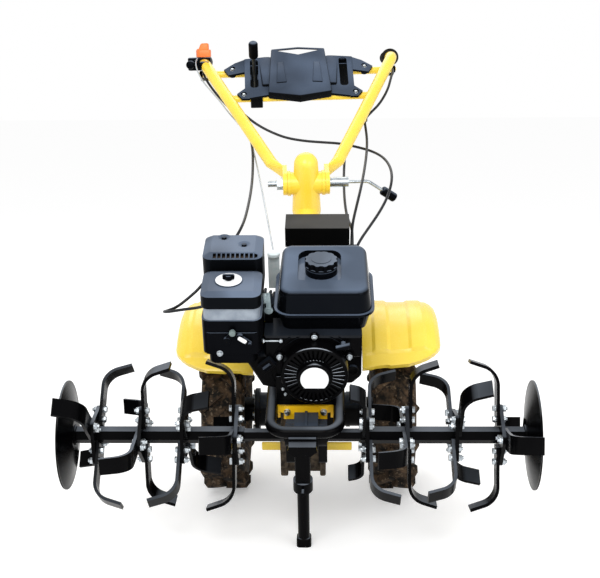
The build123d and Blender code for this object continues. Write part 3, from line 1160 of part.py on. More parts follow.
def build_cables():
    """Control cables from the hand levers, the throttle and fittings under the arms down to the machine."""
    left = from_lever(-1) + [
        (-258, 650, 634), (-216, 592, 612), (-184, 535, 600), (-168, 503, 596), (-154, 478, 587),
        (-144, 448, 572), (-137, 400, 561), (-133, 330, 552), (-130, 245, 545), (-130, 150, 545),
        (-134, 55, 543), (-139, 0, 542), (-152, -42, 531), (-179, -64, 503), (-210, -80, 459),
        (-240, -95, 422), (-267, -113, 404), (-294, -130, 389), (-316, -148, 390), (-320, -172, 402),
        (-304, -192, 414), (-268, -203, 427), (-228, -213, 438), (-190, -198, 443), (-152, -158, 439),
        (-112, -125, 430), (-70, -113, 408),
    ]
    throttle = from_throttle() + [
        (-314, 712, 704), (-306, 690, 678), (-288, 664, 656), (-263, 632, 640), (-236, 592, 626),
        (-214, 553, 613), (-194, 522, 603), (-172, 510, 582), (-143, 499, 562),
        (POST_X, POST_Y + FERRULE_LEN / 2 + 2 * CABLE_SEAT, POST_TOP - POST_W / 3),
    ]
    gear = [
        (-172, 538, 614), (-150, 530, 597), (-124, 522, 581), (-92, 510, 568), (-51, 495, 557),
        (-1, 480, 554), (49, 470, 554), (98, 455, 557), (142, 428, 558), (182, 390, 562),
        (212, 335, 567), (227, 268, 567), (227, 203, 561), (214, 152, 541), (193, 100, 526),
        (167, 50, 511), (146, 5, 503), (131, -30, 492), (127, -46, 474),
    ]
    right = from_lever(1) + [
        (243, 680, 660), (232, 625, 645), (208, 578, 622), (181, 550, 606), (164, 520, 599), (168, 482, 585),
        (170, 430, 573), (166, 350, 567), (157, 250, 564), (147, 168, 557), (135, 105, 538), (124, 50, 517),
        (122, 12, 499), (121, 0, 478),
    ]
    reverse = [
        (155, 500, 592), (140, 496, 572), (117, 480, 547), (110, 430, 530), (107, 370, 516), (106, 290, 507),
        (107, 200, 504), (112, 110, 504), (123, 60, 502), (124, 34, 492), (124, 20, 474),
    ]
    parts["cable_left"] = cable("cable_left", left, CABLE_R)
    parts["throttle_cable"] = cable("throttle_cable", throttle, WIRE_R)
    parts["gear_cable"] = cable("gear_cable", gear, CABLE_R)
    pair = [cable("right", right, CABLE_R), cable("reverse", reverse, CABLE_R)]
    parts["cables_right"] = Compound(children=pair)
    for route in (left, gear, right, reverse):
        handle_parts["handle_frame"] += TURN.inverse() * ferrule(route[0], route[1], FERRULE_R)
    for route in (gear, right, reverse):
        parts["gear_case"] += ferrule(route[-1], route[-2], ADJUSTER_R)
    parts["clutch_housing"] += ferrule(left[-1], left[-2], ADJUSTER_R, 2 * FERRULE_LEN)


def joint_lines():
    """Frame, point and axis of each joint, in the frame in which its pieces are drawn."""
    level = Pos(0, 0, TYRE_R)
    console = console_plane()
    handle = PARKED * TURN
    flip = grip_plane(-1)
    up = tuple(flip.y_dir)
    lean = polar(1, SWITCH_LEAN)
    lines = {
        "wheel_spin": (level, (CENTRE_X, 0, 0), (1, 0, 0)),
        "tine_spin": (PARKED, (0, TINE_Y, TINE_Z), (1, 0, 0)),
        "stand_slide": (PARKED, (STAND_X, STAND_Y, SOCKET_BOTTOM), (0, 0, 1)),
        "handle_height": (handle, (NECK_X, PIVOT_Y, PIVOT_Z), (1, 0, 0)),
        "gear_shift": (handle, tuple(console.from_local_coords((GEAR_X, GEAR_AT, -GEAR_DROP))), (1, 0, 0)),
        "throttle": (handle, tuple(flip.from_local_coords((LEVER_AT - 3, ARM_R + 16, -6))), up),
        "throttle_arm": (PARKED, (ARM_X, ARM_Y, ARM_Z), (0, 1, 0)),
        "fuel_cap": (PARKED, (CAP_X, CAP_Y, CAP_Z), (0, 0, 1)),
        "air_knob": (PARKED, (KNOB_X, KNOB_Y, COVER_TOP), (0, 0, 1)),
        "engine_switch": (PARKED, (SWITCH_X, SWITCH_Y, SWITCH_Z), (lean[0], 0, lean[1])),
        "choke": (PARKED, (CHOKE_X, AIR_FRONT, CHOKE_Z), (0, 1, 0)),
        "fuel_tap": (PARKED, (TAP_X, AIR_FRONT, TAP_Z), (0, 1, 0)),
        "hitch": (PARKED, (CENTRE_X, HITCH_Y, 0), (0, 0, 1)),
    }
    for side, name in ((-1, "left_lever"), (1, "right_lever")):
        pivot = grip_plane(side).from_local_coords((LEVER_AT, -LEVER_DROP * 0.75, 0))
        lines[name] = (handle, tuple(pivot), (1, 0, 0))
    return lines


def export():
    """Write every piece, parked on its wheels and stand."""
    os.makedirs("parts", exist_ok=True)
    placed = {name: PARKED * shape for name, shape in parts.items()}
    placed.update({name: PARKED * turned(shape) for name, shape in handle_parts.items()})
    placed.update({name: Pos(0, 0, TYRE_R) * shape for name, shape in level_parts.items()})
    boxes = [shape.bounding_box() for shape in placed.values()]
    middle_x = (min(b.min.X for b in boxes) + max(b.max.X for b in boxes)) / 2
    middle_y = (min(b.min.Y for b in boxes) + max(b.max.Y for b in boxes)) / 2
    floor = min(b.min.Z for b in boxes)
    home = Pos(-middle_x, -middle_y, -floor)
    for name, shape in placed.items():
        export_step(home * shape, f"parts/{name}.step")
    for name, (frame, point, axis) in joint_lines().items():
        place = home * frame
        start = (place * Pos(*point)).position
        aim = (place * Pos(*(Vector(point) + Vector(axis)))).position - start
        print("joint", name, [round(v / 1000, 6) for v in start], [round(v, 6) for v in aim])


build_wheels()
build_rotor()
build_chassis()
build_stand()
build_fenders()
build_engine()
build_tank()
build_air_cleaner()
build_exhaust()
build_controls()
build_neck()
build_handle()
build_console()
build_cables()
export()
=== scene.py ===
"""Looks of a petrol power weeder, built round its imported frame.

Pieces are placed in the machine's own frame, in millimetres: x to the right seen from the front, y to the
rear, z up, with the origin on the wheel axle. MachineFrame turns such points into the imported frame, in
metres.
"""
import json
import logging
from collections.abc import Callable, Iterable, Sequence
from dataclasses import dataclass, field
from enum import Enum
from itertools import pairwise
from math import atan2, cos, floor, radians, sin, sqrt, tau
from typing import Any

import bmesh
import bpy
from mathutils import Matrix, Vector


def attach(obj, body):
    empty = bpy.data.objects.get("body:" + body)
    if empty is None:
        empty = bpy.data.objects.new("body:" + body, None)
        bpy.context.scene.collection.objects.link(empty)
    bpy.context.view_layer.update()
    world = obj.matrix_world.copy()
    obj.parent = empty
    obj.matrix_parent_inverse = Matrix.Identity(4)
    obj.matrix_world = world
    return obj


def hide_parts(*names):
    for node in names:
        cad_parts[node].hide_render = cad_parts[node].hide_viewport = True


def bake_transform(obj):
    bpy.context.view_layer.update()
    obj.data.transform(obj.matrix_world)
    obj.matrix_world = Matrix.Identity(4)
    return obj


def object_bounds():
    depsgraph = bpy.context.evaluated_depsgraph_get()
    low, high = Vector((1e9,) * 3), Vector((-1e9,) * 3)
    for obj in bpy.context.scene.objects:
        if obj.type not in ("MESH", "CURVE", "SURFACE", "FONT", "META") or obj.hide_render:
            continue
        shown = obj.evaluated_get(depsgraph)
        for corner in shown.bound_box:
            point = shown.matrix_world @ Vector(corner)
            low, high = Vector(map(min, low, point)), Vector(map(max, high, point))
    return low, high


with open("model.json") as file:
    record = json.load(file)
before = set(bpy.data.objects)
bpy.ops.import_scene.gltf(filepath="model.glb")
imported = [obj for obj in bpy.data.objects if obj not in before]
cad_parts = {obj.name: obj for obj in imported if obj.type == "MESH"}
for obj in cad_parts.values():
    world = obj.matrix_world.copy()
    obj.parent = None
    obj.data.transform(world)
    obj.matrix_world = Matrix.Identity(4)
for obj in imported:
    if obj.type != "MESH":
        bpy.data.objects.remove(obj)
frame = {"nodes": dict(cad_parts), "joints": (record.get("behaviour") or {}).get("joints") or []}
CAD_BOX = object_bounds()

LOG = logging.getLogger("power_weeder")
MM = 0.001
Piece = bpy.types.Object
Tree = bpy.types.NodeTree
Socket = bpy.types.NodeSocket
Spot = tuple[float, float]
Point = tuple[float, float, float]
Block = tuple[Point, Point]
Cut = tuple[Vector, Vector]
UP = (0.0, 0.0, 1.0)


class Body(str, Enum):
    """Bodies that carry the pieces made here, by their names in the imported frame."""

    CHASSIS = "chassis"
    WHEELS = "wheels"
    ROTOR = "rotor"
    HANDLEBAR = "handlebar"
    THROTTLE = "throttle_thumb"
    CHOKE = "choke"
    TAP = "tap"


class Side(Enum):
    """Side of the machine, seen from the front."""

    LEFT = -1
    RIGHT = 1


class Merge(Enum):
    """What a second shape does to a piece."""

    WELD = "UNION"
    CUT = "DIFFERENCE"


# Frames

def placed(at: Vector, axes: Sequence[Vector]) -> Matrix:
    """Returns the place of a piece whose own x, y and z turn into three axes at a point."""
    return Matrix.Translation(at) @ Matrix(axes).transposed().to_4x4()


@dataclass(frozen=True)
class MachineFrame:
    """The machine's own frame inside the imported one, found from two joints."""

    axle_x: float = 15.0
    crank_x: float = 35.0
    crank_z: float = 365.0
    post_x: float = 9.0
    post_y: float = 225.0
    handle_turn: float = 3.4

    def joint(self, name: str) -> dict[str, Any]:
        """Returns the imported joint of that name."""
        return next(joint for joint in frame["joints"] if joint["name"] == name)

    def reach(self, x: float, y: float, z: float) -> Vector:
        """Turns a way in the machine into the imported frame.

        Args:
            x: share to the right.
            y: share to the rear.
            z: share upwards.

        Returns:
            The way, as long as it was.
        """
        up = -Vector(self.joint("stand_slide")["axis"]).normalized()
        across = Vector((1.0, 0.0, 0.0))
        return across * x + up.cross(across) * y + up * z

    def direction(self, x: float, y: float, z: float) -> Vector:
        """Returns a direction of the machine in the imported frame."""
        return self.reach(x, y, z).normalized()

    def point(self, x: float, y: float, z: float) -> Vector:
        """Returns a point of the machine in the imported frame, in metres."""
        axle = Vector(self.joint("wheel_spin")["pos_m"]) - Vector((self.axle_x * MM, 0.0, 0.0))
        return axle + self.reach(x, y, z) * MM

    def level(self, x: float, y: float, z: float) -> Matrix:
        """Returns the place of a piece that was modelled level at the origin, in the machine's own axes."""
        axes = (self.direction(1, 0, 0), self.direction(0, 1, 0), self.direction(0, 0, 1))
        return placed(self.point(x, y, z), axes)

    def facing(self, x: float, y: float, z: float) -> Matrix:
        """Returns the place of a piece that was modelled upright and now looks out to the front."""
        axes = (self.direction(1, 0, 0), self.direction(0, 0, 1), self.direction(0, -1, 0))
        return placed(self.point(x, y, z), axes)

    def turned(self, x: float, y: float, z: float) -> Vector:
        """Returns a point of the handlebar, which stands a little turned on its post, in metres."""
        turn = Matrix.Rotation(radians(self.handle_turn), 2)
        x, y = turn @ Vector((x - self.post_x, y - self.post_y))
        return self.point(x + self.post_x, y + self.post_y, z)


@dataclass(frozen=True)
class ConsoleFrame:
    """Plane of the console on the handle arms: u across, v up the arms, w off the face."""

    machine: MachineFrame
    pivot_z: float = 546.0
    bend_y: float = 760.0
    bend_z: float = 690.0
    start: float = 376.0

    def spot(self, u: float, v: float, w: float) -> Vector:
        """Returns a point of the console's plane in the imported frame, in metres."""
        slope = atan2(self.bend_z - self.pivot_z, self.bend_y - self.machine.post_y)
        along = self.start + v
        y = self.machine.post_y + along * cos(slope) - w * sin(slope)
        z = self.pivot_z + along * sin(slope) + w * cos(slope)
        return self.machine.turned(self.machine.post_x + u, y, z)

    def off(self) -> Vector:
        """Returns the direction off the console's face."""
        return (self.spot(0, 0, 1) - self.spot(0, 0, 0)).normalized()

    def place(self) -> Matrix:
        """Returns the place of a piece that was modelled with u, v and w as x, y and z."""
        home = self.spot(0, 0, 0)
        axes = [(self.spot(*way) - home).normalized() for way in ((1, 0, 0), (0, 1, 0), (0, 0, 1))]
        return placed(home, axes)


MACHINE = MachineFrame()
CONSOLE = ConsoleFrame(MACHINE)


# Finishes

def linear(colour: str) -> tuple[float, float, float, float]:
    """Turns an sRGB hex colour into linear light.

    Args:
        colour: six hex digits after a hash.

    Returns:
        Red, green, blue and an alpha of 1.
    """
    shares = [int(colour[i:i + 2], 16) / 255 for i in (1, 3, 5)]
    light = [s / 12.92 if s <= 0.04045 else ((s + 0.055) / 1.055) ** 2.4 for s in shares]
    return (light[0], light[1], light[2], 1.0)


def add_node(
    tree: Tree,
    kind: str,
    settings: dict[str | int, Any] | None = None,
    links: dict[str | int, Socket] | None = None,
) -> bpy.types.Node:
    """Adds a shader node with its settings and links.

    Args:
        tree: node tree that takes it.
        kind: Blender's name for the node.
        settings: values of its sockets, by name or number, and of its properties.
        links: outputs that feed its sockets.

    Returns:
        The new node.
    """
    node = tree.nodes.new(kind)
    for key, value in (settings or {}).items():
        if isinstance(key, int) or key in node.inputs:
            node.inputs[key].default_value = value
        else:
            setattr(node, key, value)
    for key, source in (links or {}).items():
        tree.links.new(source, node.inputs[key])
    return node


@dataclass(frozen=True)
class Finish:
    """A surface: two close colours in patches, a fine grain, soft edges, and a painted sheen on faces that
    turn up, standing in for reflected sky.
    """

    name: str
    colour: str
    shade: str
    roughness: float
    metallic: float = 0.0
    coat: float = 0.0
    specular: float = 0.5
    patch_mm: float = 70.0
    grain_mm: float = 1.5
    grain_depth_mm: float = 0.03
    edge_mm: float = 0.7
    uneven: float = 0.06
    shine: str = "#ffffff"
    # The next six fields paint a sheen on faces that turn one way, standing in for reflected light: its
    # colour, its share, the way, the range of facing over which it grows, and the size of its clouds.
    sheen_colour: str = "#6c798c"
    sheen_share: float = 0.0
    sheen_way: Point = (0.0, -0.2, 0.98)
    sheen_from: float = 0.45
    sheen_full: float = 0.85
    sheen_cloud_mm: float = 110.0

    def colours(self, tree: Tree, coords: Socket) -> Socket:
        """Mixes the two colours in soft patches.

        Args:
            tree: the material's node tree.
            coords: object coordinates.

        Returns:
            The colour's socket.
        """
        patch = add_node(tree, "ShaderNodeTexNoise", {"Scale": 1 / (self.patch_mm * MM), "Detail": 4.0},
                         {"Vector": coords})
        spread = add_node(tree, "ShaderNodeMapRange", {"From Min": 0.35, "From Max": 0.65},
                          {"Value": patch.outputs[0]})
        mix = add_node(tree, "ShaderNodeMix",
                       {"data_type": "RGBA", 6: linear(self.shade), 7: linear(self.colour)},
                       {0: spread.outputs[0]})
        # Where the finish has a share of it, a painted sheen goes over the colour.
        return self.with_painted_sheen(tree, mix.outputs[2]) if self.sheen_share else mix.outputs[2]

    def with_painted_sheen(self, tree: Tree, base: Socket) -> Socket:
        """Paints a sheen over the colour where a face turns one way, mostly up: painted reflected light, in
        soft clouds.

        Args:
            tree: the material's node tree.
            base: colour under the film.

        Returns:
            The colour's socket.
        """
        coords = add_node(tree, "ShaderNodeTexCoord").outputs
        rise = add_node(tree, "ShaderNodeVectorMath", {"operation": "DOT_PRODUCT", 1: self.sheen_way},
                        {0: coords["Normal"]})
        lies = add_node(tree, "ShaderNodeMapRange",
                        {"From Min": self.sheen_from, "From Max": self.sheen_full, "To Max": self.sheen_share},
                        {"Value": rise.outputs["Value"]})
        # Soft clouds in the painted sheen stand in for the changes across a reflection.
        reflection_cloud = add_node(tree, "ShaderNodeTexNoise", {"Scale": 1 / (self.sheen_cloud_mm * MM), "Detail": 1.0},
                         {"Vector": coords["Object"]})
        sheen_patches = add_node(tree, "ShaderNodeMapRange", {"From Min": 0.38, "From Max": 0.62, "To Min": 0.6},
                         {"Value": reflection_cloud.outputs[0]})
        share = add_node(tree, "ShaderNodeMath", {"operation": "MULTIPLY"},
                         {0: lies.outputs[0], 1: sheen_patches.outputs[0]})
        mix = add_node(tree, "ShaderNodeMix", {"data_type": "RGBA", 7: linear(self.sheen_colour)},
                       {0: share.outputs[0], 6: base})
        return mix.outputs[2]

    def grain(self, tree: Tree, coords: Socket) -> Socket:
        """Returns the height of the fine grain, from 0 to 1."""
        return add_node(tree, "ShaderNodeTexNoise", {"Scale": 1 / (self.grain_mm * MM), "Detail": 2.0},
                        {"Vector": coords}).outputs[0]

    def material(self) -> bpy.types.Material:
        """Makes the material once and hands it out again afterwards.

        Returns:
            The material.
        """
        known = bpy.data.materials.get(self.name)
        if known:
            return known
        material = bpy.data.materials.new(self.name)
        material.use_nodes = True
        tree = material.node_tree
        tree.nodes.clear()
        coords = add_node(tree, "ShaderNodeTexCoord").outputs["Object"]
        grain = self.grain(tree, coords)
        rough = add_node(tree, "ShaderNodeMapRange",
                         {"To Min": self.roughness - self.uneven, "To Max": self.roughness + self.uneven},
                         {"Value": grain})
        edge = add_node(tree, "ShaderNodeBevel", {"samples": 4, "Radius": self.edge_mm * MM})
        bump = add_node(tree, "ShaderNodeBump", {"Strength": 0.6, "Distance": self.grain_depth_mm * MM},
                        {"Height": grain, "Normal": edge.outputs[0]})
        shader = add_node(
            tree, "ShaderNodeBsdfPrincipled",
            {"Metallic": self.metallic, "Coat Weight": self.coat, "Coat Roughness": 0.08,
             "Specular IOR Level": self.specular, "Specular Tint": linear(self.shine)},
            {"Base Color": self.colours(tree, coords), "Roughness": rough.outputs[0],
             "Normal": bump.outputs[0]},
        )
        add_node(tree, "ShaderNodeOutputMaterial", links={"Surface": shader.outputs[0]})
        return material


@dataclass(frozen=True)
class SoiledTyre(Finish):
    """Black rubber with dried brown soil on the lugs and in the hollows between them."""

    soil: str = "#5b4a3a"
    pale_soil: str = "#8d7c68"
    clump_mm: float = 26.0

    def colours(self, tree: Tree, coords: Socket) -> Socket:
        """Lays two soils over the rubber in clumps.

        Args:
            tree: the material's node tree.
            coords: object coordinates.

        Returns:
            The colour's socket.
        """
        rubber = super().colours(tree, coords)
        clump = add_node(tree, "ShaderNodeTexNoise",
                         {"Scale": 1 / (self.clump_mm * MM), "Detail": 6.0, "Roughness": 0.62},
                         {"Vector": coords})
        cover = add_node(tree, "ShaderNodeMapRange", {"From Min": 0.44, "From Max": 0.66},
                         {"Value": clump.outputs[0]})
        soiled = add_node(tree, "ShaderNodeMix", {"data_type": "RGBA", 7: linear(self.soil)},
                          {0: cover.outputs[0], 6: rubber})
        fleck = add_node(tree, "ShaderNodeTexNoise", {"Scale": 3 / (self.clump_mm * MM), "Detail": 5.0},
                         {"Vector": coords})
        bright = add_node(tree, "ShaderNodeMapRange", {"From Min": 0.58, "From Max": 0.78},
                          {"Value": fleck.outputs[0]})
        mixed = add_node(tree, "ShaderNodeMix", {"data_type": "RGBA", 7: linear(self.pale_soil)},
                         {0: bright.outputs[0], 6: soiled.outputs[2]})
        return mixed.outputs[2]


# Stoved yellow enamel: even and glossy, with a faint orange peel
YELLOW_ENAMEL = Finish("yellow_enamel", "#ffdf54", "#fdd943", 0.26, grain_mm=2.5, grain_depth_mm=0.02)
# The same enamel on the engine's frame, given a deeper amber as painted shade, because the frame sits in
# shadow under the engine
SHADED_FRAME_ENAMEL = Finish("frame_enamel_painted_shade", "#ffca1e", "#fdc112", 0.3, grain_mm=2.5, grain_depth_mm=0.02)
# Gloss black paint on pressed steel: deep, with a painted grey sheen where it faces up that stands in for
# reflected sky
BLACK_ENAMEL = Finish("black_enamel", "#050506", "#030304", 0.24, specular=0.035, grain_mm=3.0,
                      sheen_colour="#8a929d", sheen_share=0.5, sheen_from=0.72, sheen_full=1.0)
# Tank paint: the glossiest surface of the machine, with a painted bluish sheen in clouds on top that stands
# in for reflections
TANK_ENAMEL = Finish("tank_enamel", "#060709", "#040507", 0.16, specular=0.07, grain_mm=4.0, edge_mm=1.6,
                     shine="#c4d4f2", sheen_colour="#728197", sheen_share=0.68, sheen_cloud_mm=140.0)
# Painted sand casting: a rough skin under thin paint, with a painted sheen where it faces up
PAINTED_CASTING = Finish("painted_casting", "#0b0c0d", "#070708", 0.45, specular=0.06, grain_mm=2.0,
                         grain_depth_mm=0.15, sheen_share=0.4)
# The same casting low down, where soil has dried on it
SOILED_CASTING = Finish("soiled_casting", "#5d5245", "#2a2520", 0.8, specular=0.1, patch_mm=16.0,
                        grain_mm=4.0, grain_depth_mm=0.8)
# Die-cast aluminium, painted black by spray: satin, with a faint painted sheen where it faces up
ENGINE_CASTING = Finish("engine_casting", "#050506", "#030304", 0.4, specular=0.04, grain_depth_mm=0.06,
                        sheen_share=0.3)
# Moulded black polypropylene: satin with a spark-eroded grain, and a painted bluish-grey sheen where it faces
# up
BLACK_MOULDING = Finish("black_moulding", "#050506", "#030304", 0.36, specular=0.045, grain_mm=1.0,
                        shine="#c4d4f2", sheen_colour="#7e8b9d", sheen_share=0.6)
# Gloss starter moulding: black, with a painted highlight on the rounded edges that look up and ahead
STARTER_MOULDING = Finish("starter_moulding", "#050506", "#030304", 0.3, specular=0.04, grain_mm=1.0,
                          sheen_colour="#b4bcc6", sheen_share=0.75, sheen_way=(0.0, -0.85, 0.527), sheen_from=0.9,
                          sheen_full=0.98)
# Sprayed fan shroud: black all over, with a faint painted sheen where it faces up
SHROUD_PAINT = Finish("shroud_paint", "#050506", "#030304", 0.3, specular=0.035, grain_depth_mm=0.04,
                      sheen_share=0.1)
# Pressed steel cover, matt black, with a painted grey sheen on its top
BOX_PAINT = Finish("box_paint", "#060606", "#040404", 0.5, specular=0.05, sheen_colour="#5c5b59", sheen_share=0.5)
# Moulded blue-black ABS, with a painted slate sheen where it faces up
CONSOLE_ABS = Finish("console_abs", "#090a0c", "#060708", 0.42, specular=0.06, grain_mm=1.2, edge_mm=1.5,
                     shine="#c4d4f2", sheen_colour="#59667a", sheen_share=0.8)
# The same ABS on air cleaner and muffler guard: glossier, with a paler painted sheen on top
AIR_COVER_ABS = Finish("air_cover_abs", "#08090b", "#050607", 0.34, specular=0.06, grain_mm=1.2, edge_mm=1.2,
                       shine="#c4d4f2", sheen_colour="#748297", sheen_share=0.72)
# Soft rubber of the grips: dull, with a faint painted sheen where it faces up
GRIP_RUBBER = Finish("soft_rubber", "#232222", "#1a1919", 0.72, specular=0.08, grain_mm=1.4,
                     grain_depth_mm=0.08, sheen_share=0.25)
# Extruded PVC sheath: smooth, a little glossy
CABLE_SHEATH = Finish("cable_sheath", "#17191d", "#111316", 0.34, specular=0.3, grain_mm=2.0,
                      grain_depth_mm=0.02)
# Plated steel wire in a clear liner: pale grey
BARE_WIRE = Finish("bare_wire", "#c3c8cc", "#aeb4b9", 0.4, metallic=0.6, grain_mm=0.8)
# Bright zinc plate: cool silver with a slight bloom
ZINC_PLATE = Finish("zinc_plate", "#c3c9cd", "#9fa7ad", 0.3, metallic=1.0, patch_mm=12.0, grain_mm=0.9)
# Carburettor body: bare die-cast aluminium, dulled
BARE_CASTING = Finish("bare_casting", "#9fb0b4", "#7f8f94", 0.4, metallic=0.7, patch_mm=10.0, grain_mm=0.9)
# Black steel rod of the gear lever: oiled, half bright
OILED_STEEL = Finish("oiled_steel", "#3c3f42", "#2b2d30", 0.35, metallic=0.7, grain_mm=0.9)
# Galvanised sheet: pale, with cloudy spangle
GALVANISED = Finish("galvanised", "#f4fcfd", "#e6f4f5", 0.4, patch_mm=9.0, grain_mm=0.9)
# Aluminised muffler steel, browned by heat
HOT_STEEL = Finish("hot_steel", "#5a4d42", "#3b342e", 0.55, metallic=0.8, patch_mm=30.0)
# Foam and paper filter behind a grey moulded band
FILTER_BAND = Finish("moulded_band", "#98a1ab", "#7c8590", 0.5, specular=0.2, patch_mm=34.0, grain_mm=1.2,
                     grain_depth_mm=0.05)
# White lacquer on thin plate: clean, with a slight gloss
WHITE_PLATE = Finish("white_plate", "#f3f4f5", "#e9ebec", 0.3, coat=0.2, grain_mm=3.0, grain_depth_mm=0.01)
# Moulded grey nylon: satin
GREY_KNOB = Finish("grey_knob", "#7d8b8a", "#667372", 0.4, specular=0.25, grain_mm=1.2)
# Moulded orange nylon: bright and even, half glossy
ORANGE_MOULDING = Finish("orange_moulding", "#f7823f", "#ee7233", 0.35, specular=0.3, grain_mm=1.2,
                         grain_depth_mm=0.02)
# Lugged tyre rubber: dull black under dried soil
TYRE_RUBBER = SoiledTyre("soiled_tyre", "#1f1d1b", "#161513", 0.85, specular=0.12, patch_mm=40.0,
                         grain_mm=5.0, grain_depth_mm=1.2, edge_mm=2.0)


# Bench work

def deselect() -> None:
    """Leaves edit mode and deselects everything."""
    if bpy.context.object and bpy.context.object.mode != "OBJECT":
        bpy.ops.object.mode_set(mode="OBJECT")
    bpy.ops.object.select_all(action="DESELECT")


def only(piece: Piece) -> None:
    """Selects one piece and makes it active."""
    deselect()
    piece.select_set(True)
    bpy.context.view_layer.objects.active = piece


def pick_faces(piece: Piece, wanted: Callable[[bmesh.types.BMFace], bool]) -> None:
    """Opens a piece in edit mode with some of its faces selected.

    Args:
        piece: the mesh object.
        wanted: says of a face whether it is selected.
    """
    only(piece)
    bpy.ops.object.mode_set(mode="EDIT")
    bpy.ops.mesh.select_mode(type="FACE")
    bpy.ops.mesh.select_all(action="DESELECT")
    mesh = bmesh.from_edit_mesh(piece.data)
    for face in mesh.faces:
        face.select_set(wanted(face))
    bmesh.update_edit_mesh(piece.data)


def top_face(face: bmesh.types.BMFace) -> bool:
    """Says whether a face points up."""
    return face.normal.z > 0.99


def turned_bar(radius: float, depth: float, sides: int, at: float = 0.0, edge: float = 0.0) -> Piece:
    """Models an upright round or many-sided bar with a bevelled top edge.

    Args:
        radius: its radius, in millimetres.
        depth: its length.
        sides: how many sides it has.
        at: height of its foot.
        edge: width of the bevel.

    Returns:
        The bar, on the axis of z.
    """
    deselect()
    bpy.ops.mesh.primitive_cylinder_add(vertices=sides, radius=radius * MM, depth=depth * MM,
                                        location=(0, 0, (at + depth / 2) * MM))
    bar = bpy.context.object
    only(bar)
    bpy.ops.object.transform_apply(location=True, rotation=True, scale=True)
    if edge:
        pick_faces(bar, top_face)
        bpy.ops.mesh.bevel(offset=edge * MM, segments=2, affect="EDGES")
        bpy.ops.object.mode_set(mode="OBJECT")
    return bar


def dished(piece: Piece, rim: float, depth: float) -> Piece:
    """Sinks the top of a piece straight down inside a rim.

    Args:
        piece: the piece, upright.
        rim: width of the rim, in millimetres.
        depth: how far the top sinks.

    Returns:
        The same piece.
    """
    pick_faces(piece, top_face)
    bpy.ops.mesh.inset(thickness=rim * MM, depth=0)
    bpy.ops.mesh.extrude_region_move(TRANSFORM_OT_translate={"value": (0, 0, -depth * MM)})
    bpy.ops.object.mode_set(mode="OBJECT")
    return piece


def stepped(piece: Piece, steps: Iterable[Spot]) -> Piece:
    """Insets the top of a piece in steps.

    Args:
        piece: the piece, upright.
        steps: width and rise of each step, in millimetres.

    Returns:
        The same piece.
    """
    pick_faces(piece, top_face)
    for width, rise in steps:
        bpy.ops.mesh.inset(thickness=width * MM, depth=rise * MM)
    bpy.ops.object.mode_set(mode="OBJECT")
    return piece


def facet(a: Point, b: Point, c: Point, away: Point) -> Cut:
    """Sets a cutting plane through three points.

    Args:
        a: first point, in millimetres.
        b: second point.
        c: third point.
        away: rough direction of the side that is cut off.

    Returns:
        A point on the plane and the direction that is cut off.
    """
    normal = (Vector(b) - Vector(a)).cross(Vector(c) - Vector(a)).normalized()
    return Vector(a), normal if normal.dot(Vector(away)) > 0 else -normal


def wall(a: Spot, b: Spot, away: Point) -> Cut:
    """Sets an upright cutting plane through two points of the plan."""
    return facet((*a, 0.0), (*b, 0.0), (*a, 10.0), away)


def under(cut: Cut, drop: float) -> Cut:
    """Turns a plane round, a little further in, to cut a plate's other face."""
    at, away = cut
    return at - away * drop, -away


def carved(low: Point, high: Point, cuts: Iterable[Cut] = (), inset: float = 0.0) -> Piece:
    """Carves a piece out of a block along cutting planes.

    Args:
        low: one corner of the block, in millimetres.
        high: the corner across from it.
        cuts: the planes.
        inset: how far the planes are moved inwards.

    Returns:
        The carved piece.
    """
    deselect()
    bpy.ops.mesh.primitive_cube_add(size=1.0, location=(Vector(low) + Vector(high)) / 2 * MM)
    piece = bpy.context.object
    piece.scale = [abs(b - a) * MM for a, b in zip(low, high)]
    only(piece)
    bpy.ops.object.transform_apply(location=True, rotation=True, scale=True)
    bpy.ops.object.mode_set(mode="EDIT")
    for at, away in cuts:
        bpy.ops.mesh.select_all(action="SELECT")
        bpy.ops.mesh.bisect(plane_co=(at - away * inset) * MM, plane_no=away, use_fill=True, clear_outer=True)
    bpy.ops.object.mode_set(mode="OBJECT")
    return piece


def rounded(piece: Piece, width: float, segments: int = 3, angle: float = 25.0) -> Piece:
    """Rounds the edges of a piece that are sharper than an angle.

    Args:
        piece: the piece.
        width: width of the rounding, in millimetres.
        segments: facets of the rounding.
        angle: the angle, in degrees.

    Returns:
        The same piece.
    """
    only(piece)
    step = piece.modifiers.new("rounding", "BEVEL")
    step.width = width * MM
    step.segments = segments
    step.limit_method = "ANGLE"
    step.angle_limit = radians(angle)
    bpy.ops.object.modifier_apply(modifier=step.name)
    return piece


def combined(piece: Piece, tool: Piece, how: Merge) -> Piece:
    """Welds a tool to a piece or cuts it out of the piece.

    Args:
        piece: the piece.
        tool: the other shape, which goes.
        how: weld or cut.

    Returns:
        The piece.
    """
    only(piece)
    step = piece.modifiers.new("merge", "BOOLEAN")
    step.operation = how.value
    step.object = tool
    bpy.ops.object.modifier_apply(modifier=step.name)
    bpy.data.objects.remove(tool)
    return piece


def chain(points: Sequence[Vector]) -> Piece:
    """Draws a bent line by extruding a point, and stays in edit mode with all of it selected.

    Args:
        points: its corners, in millimetres.

    Returns:
        The line.
    """
    deselect()
    bpy.ops.mesh.primitive_plane_add(size=1.0)
    line = bpy.context.object
    only(line)
    bpy.ops.object.mode_set(mode="EDIT")
    bpy.ops.mesh.select_mode(type="VERT")
    bpy.ops.mesh.select_all(action="SELECT")
    bpy.ops.mesh.merge(type="CENTER")
    bpy.ops.transform.translate(value=points[0] * MM)
    for a, b in pairwise(points):
        bpy.ops.mesh.extrude_region_move(TRANSFORM_OT_translate={"value": (b - a) * MM})
    bpy.ops.mesh.select_all(action="SELECT")
    return line


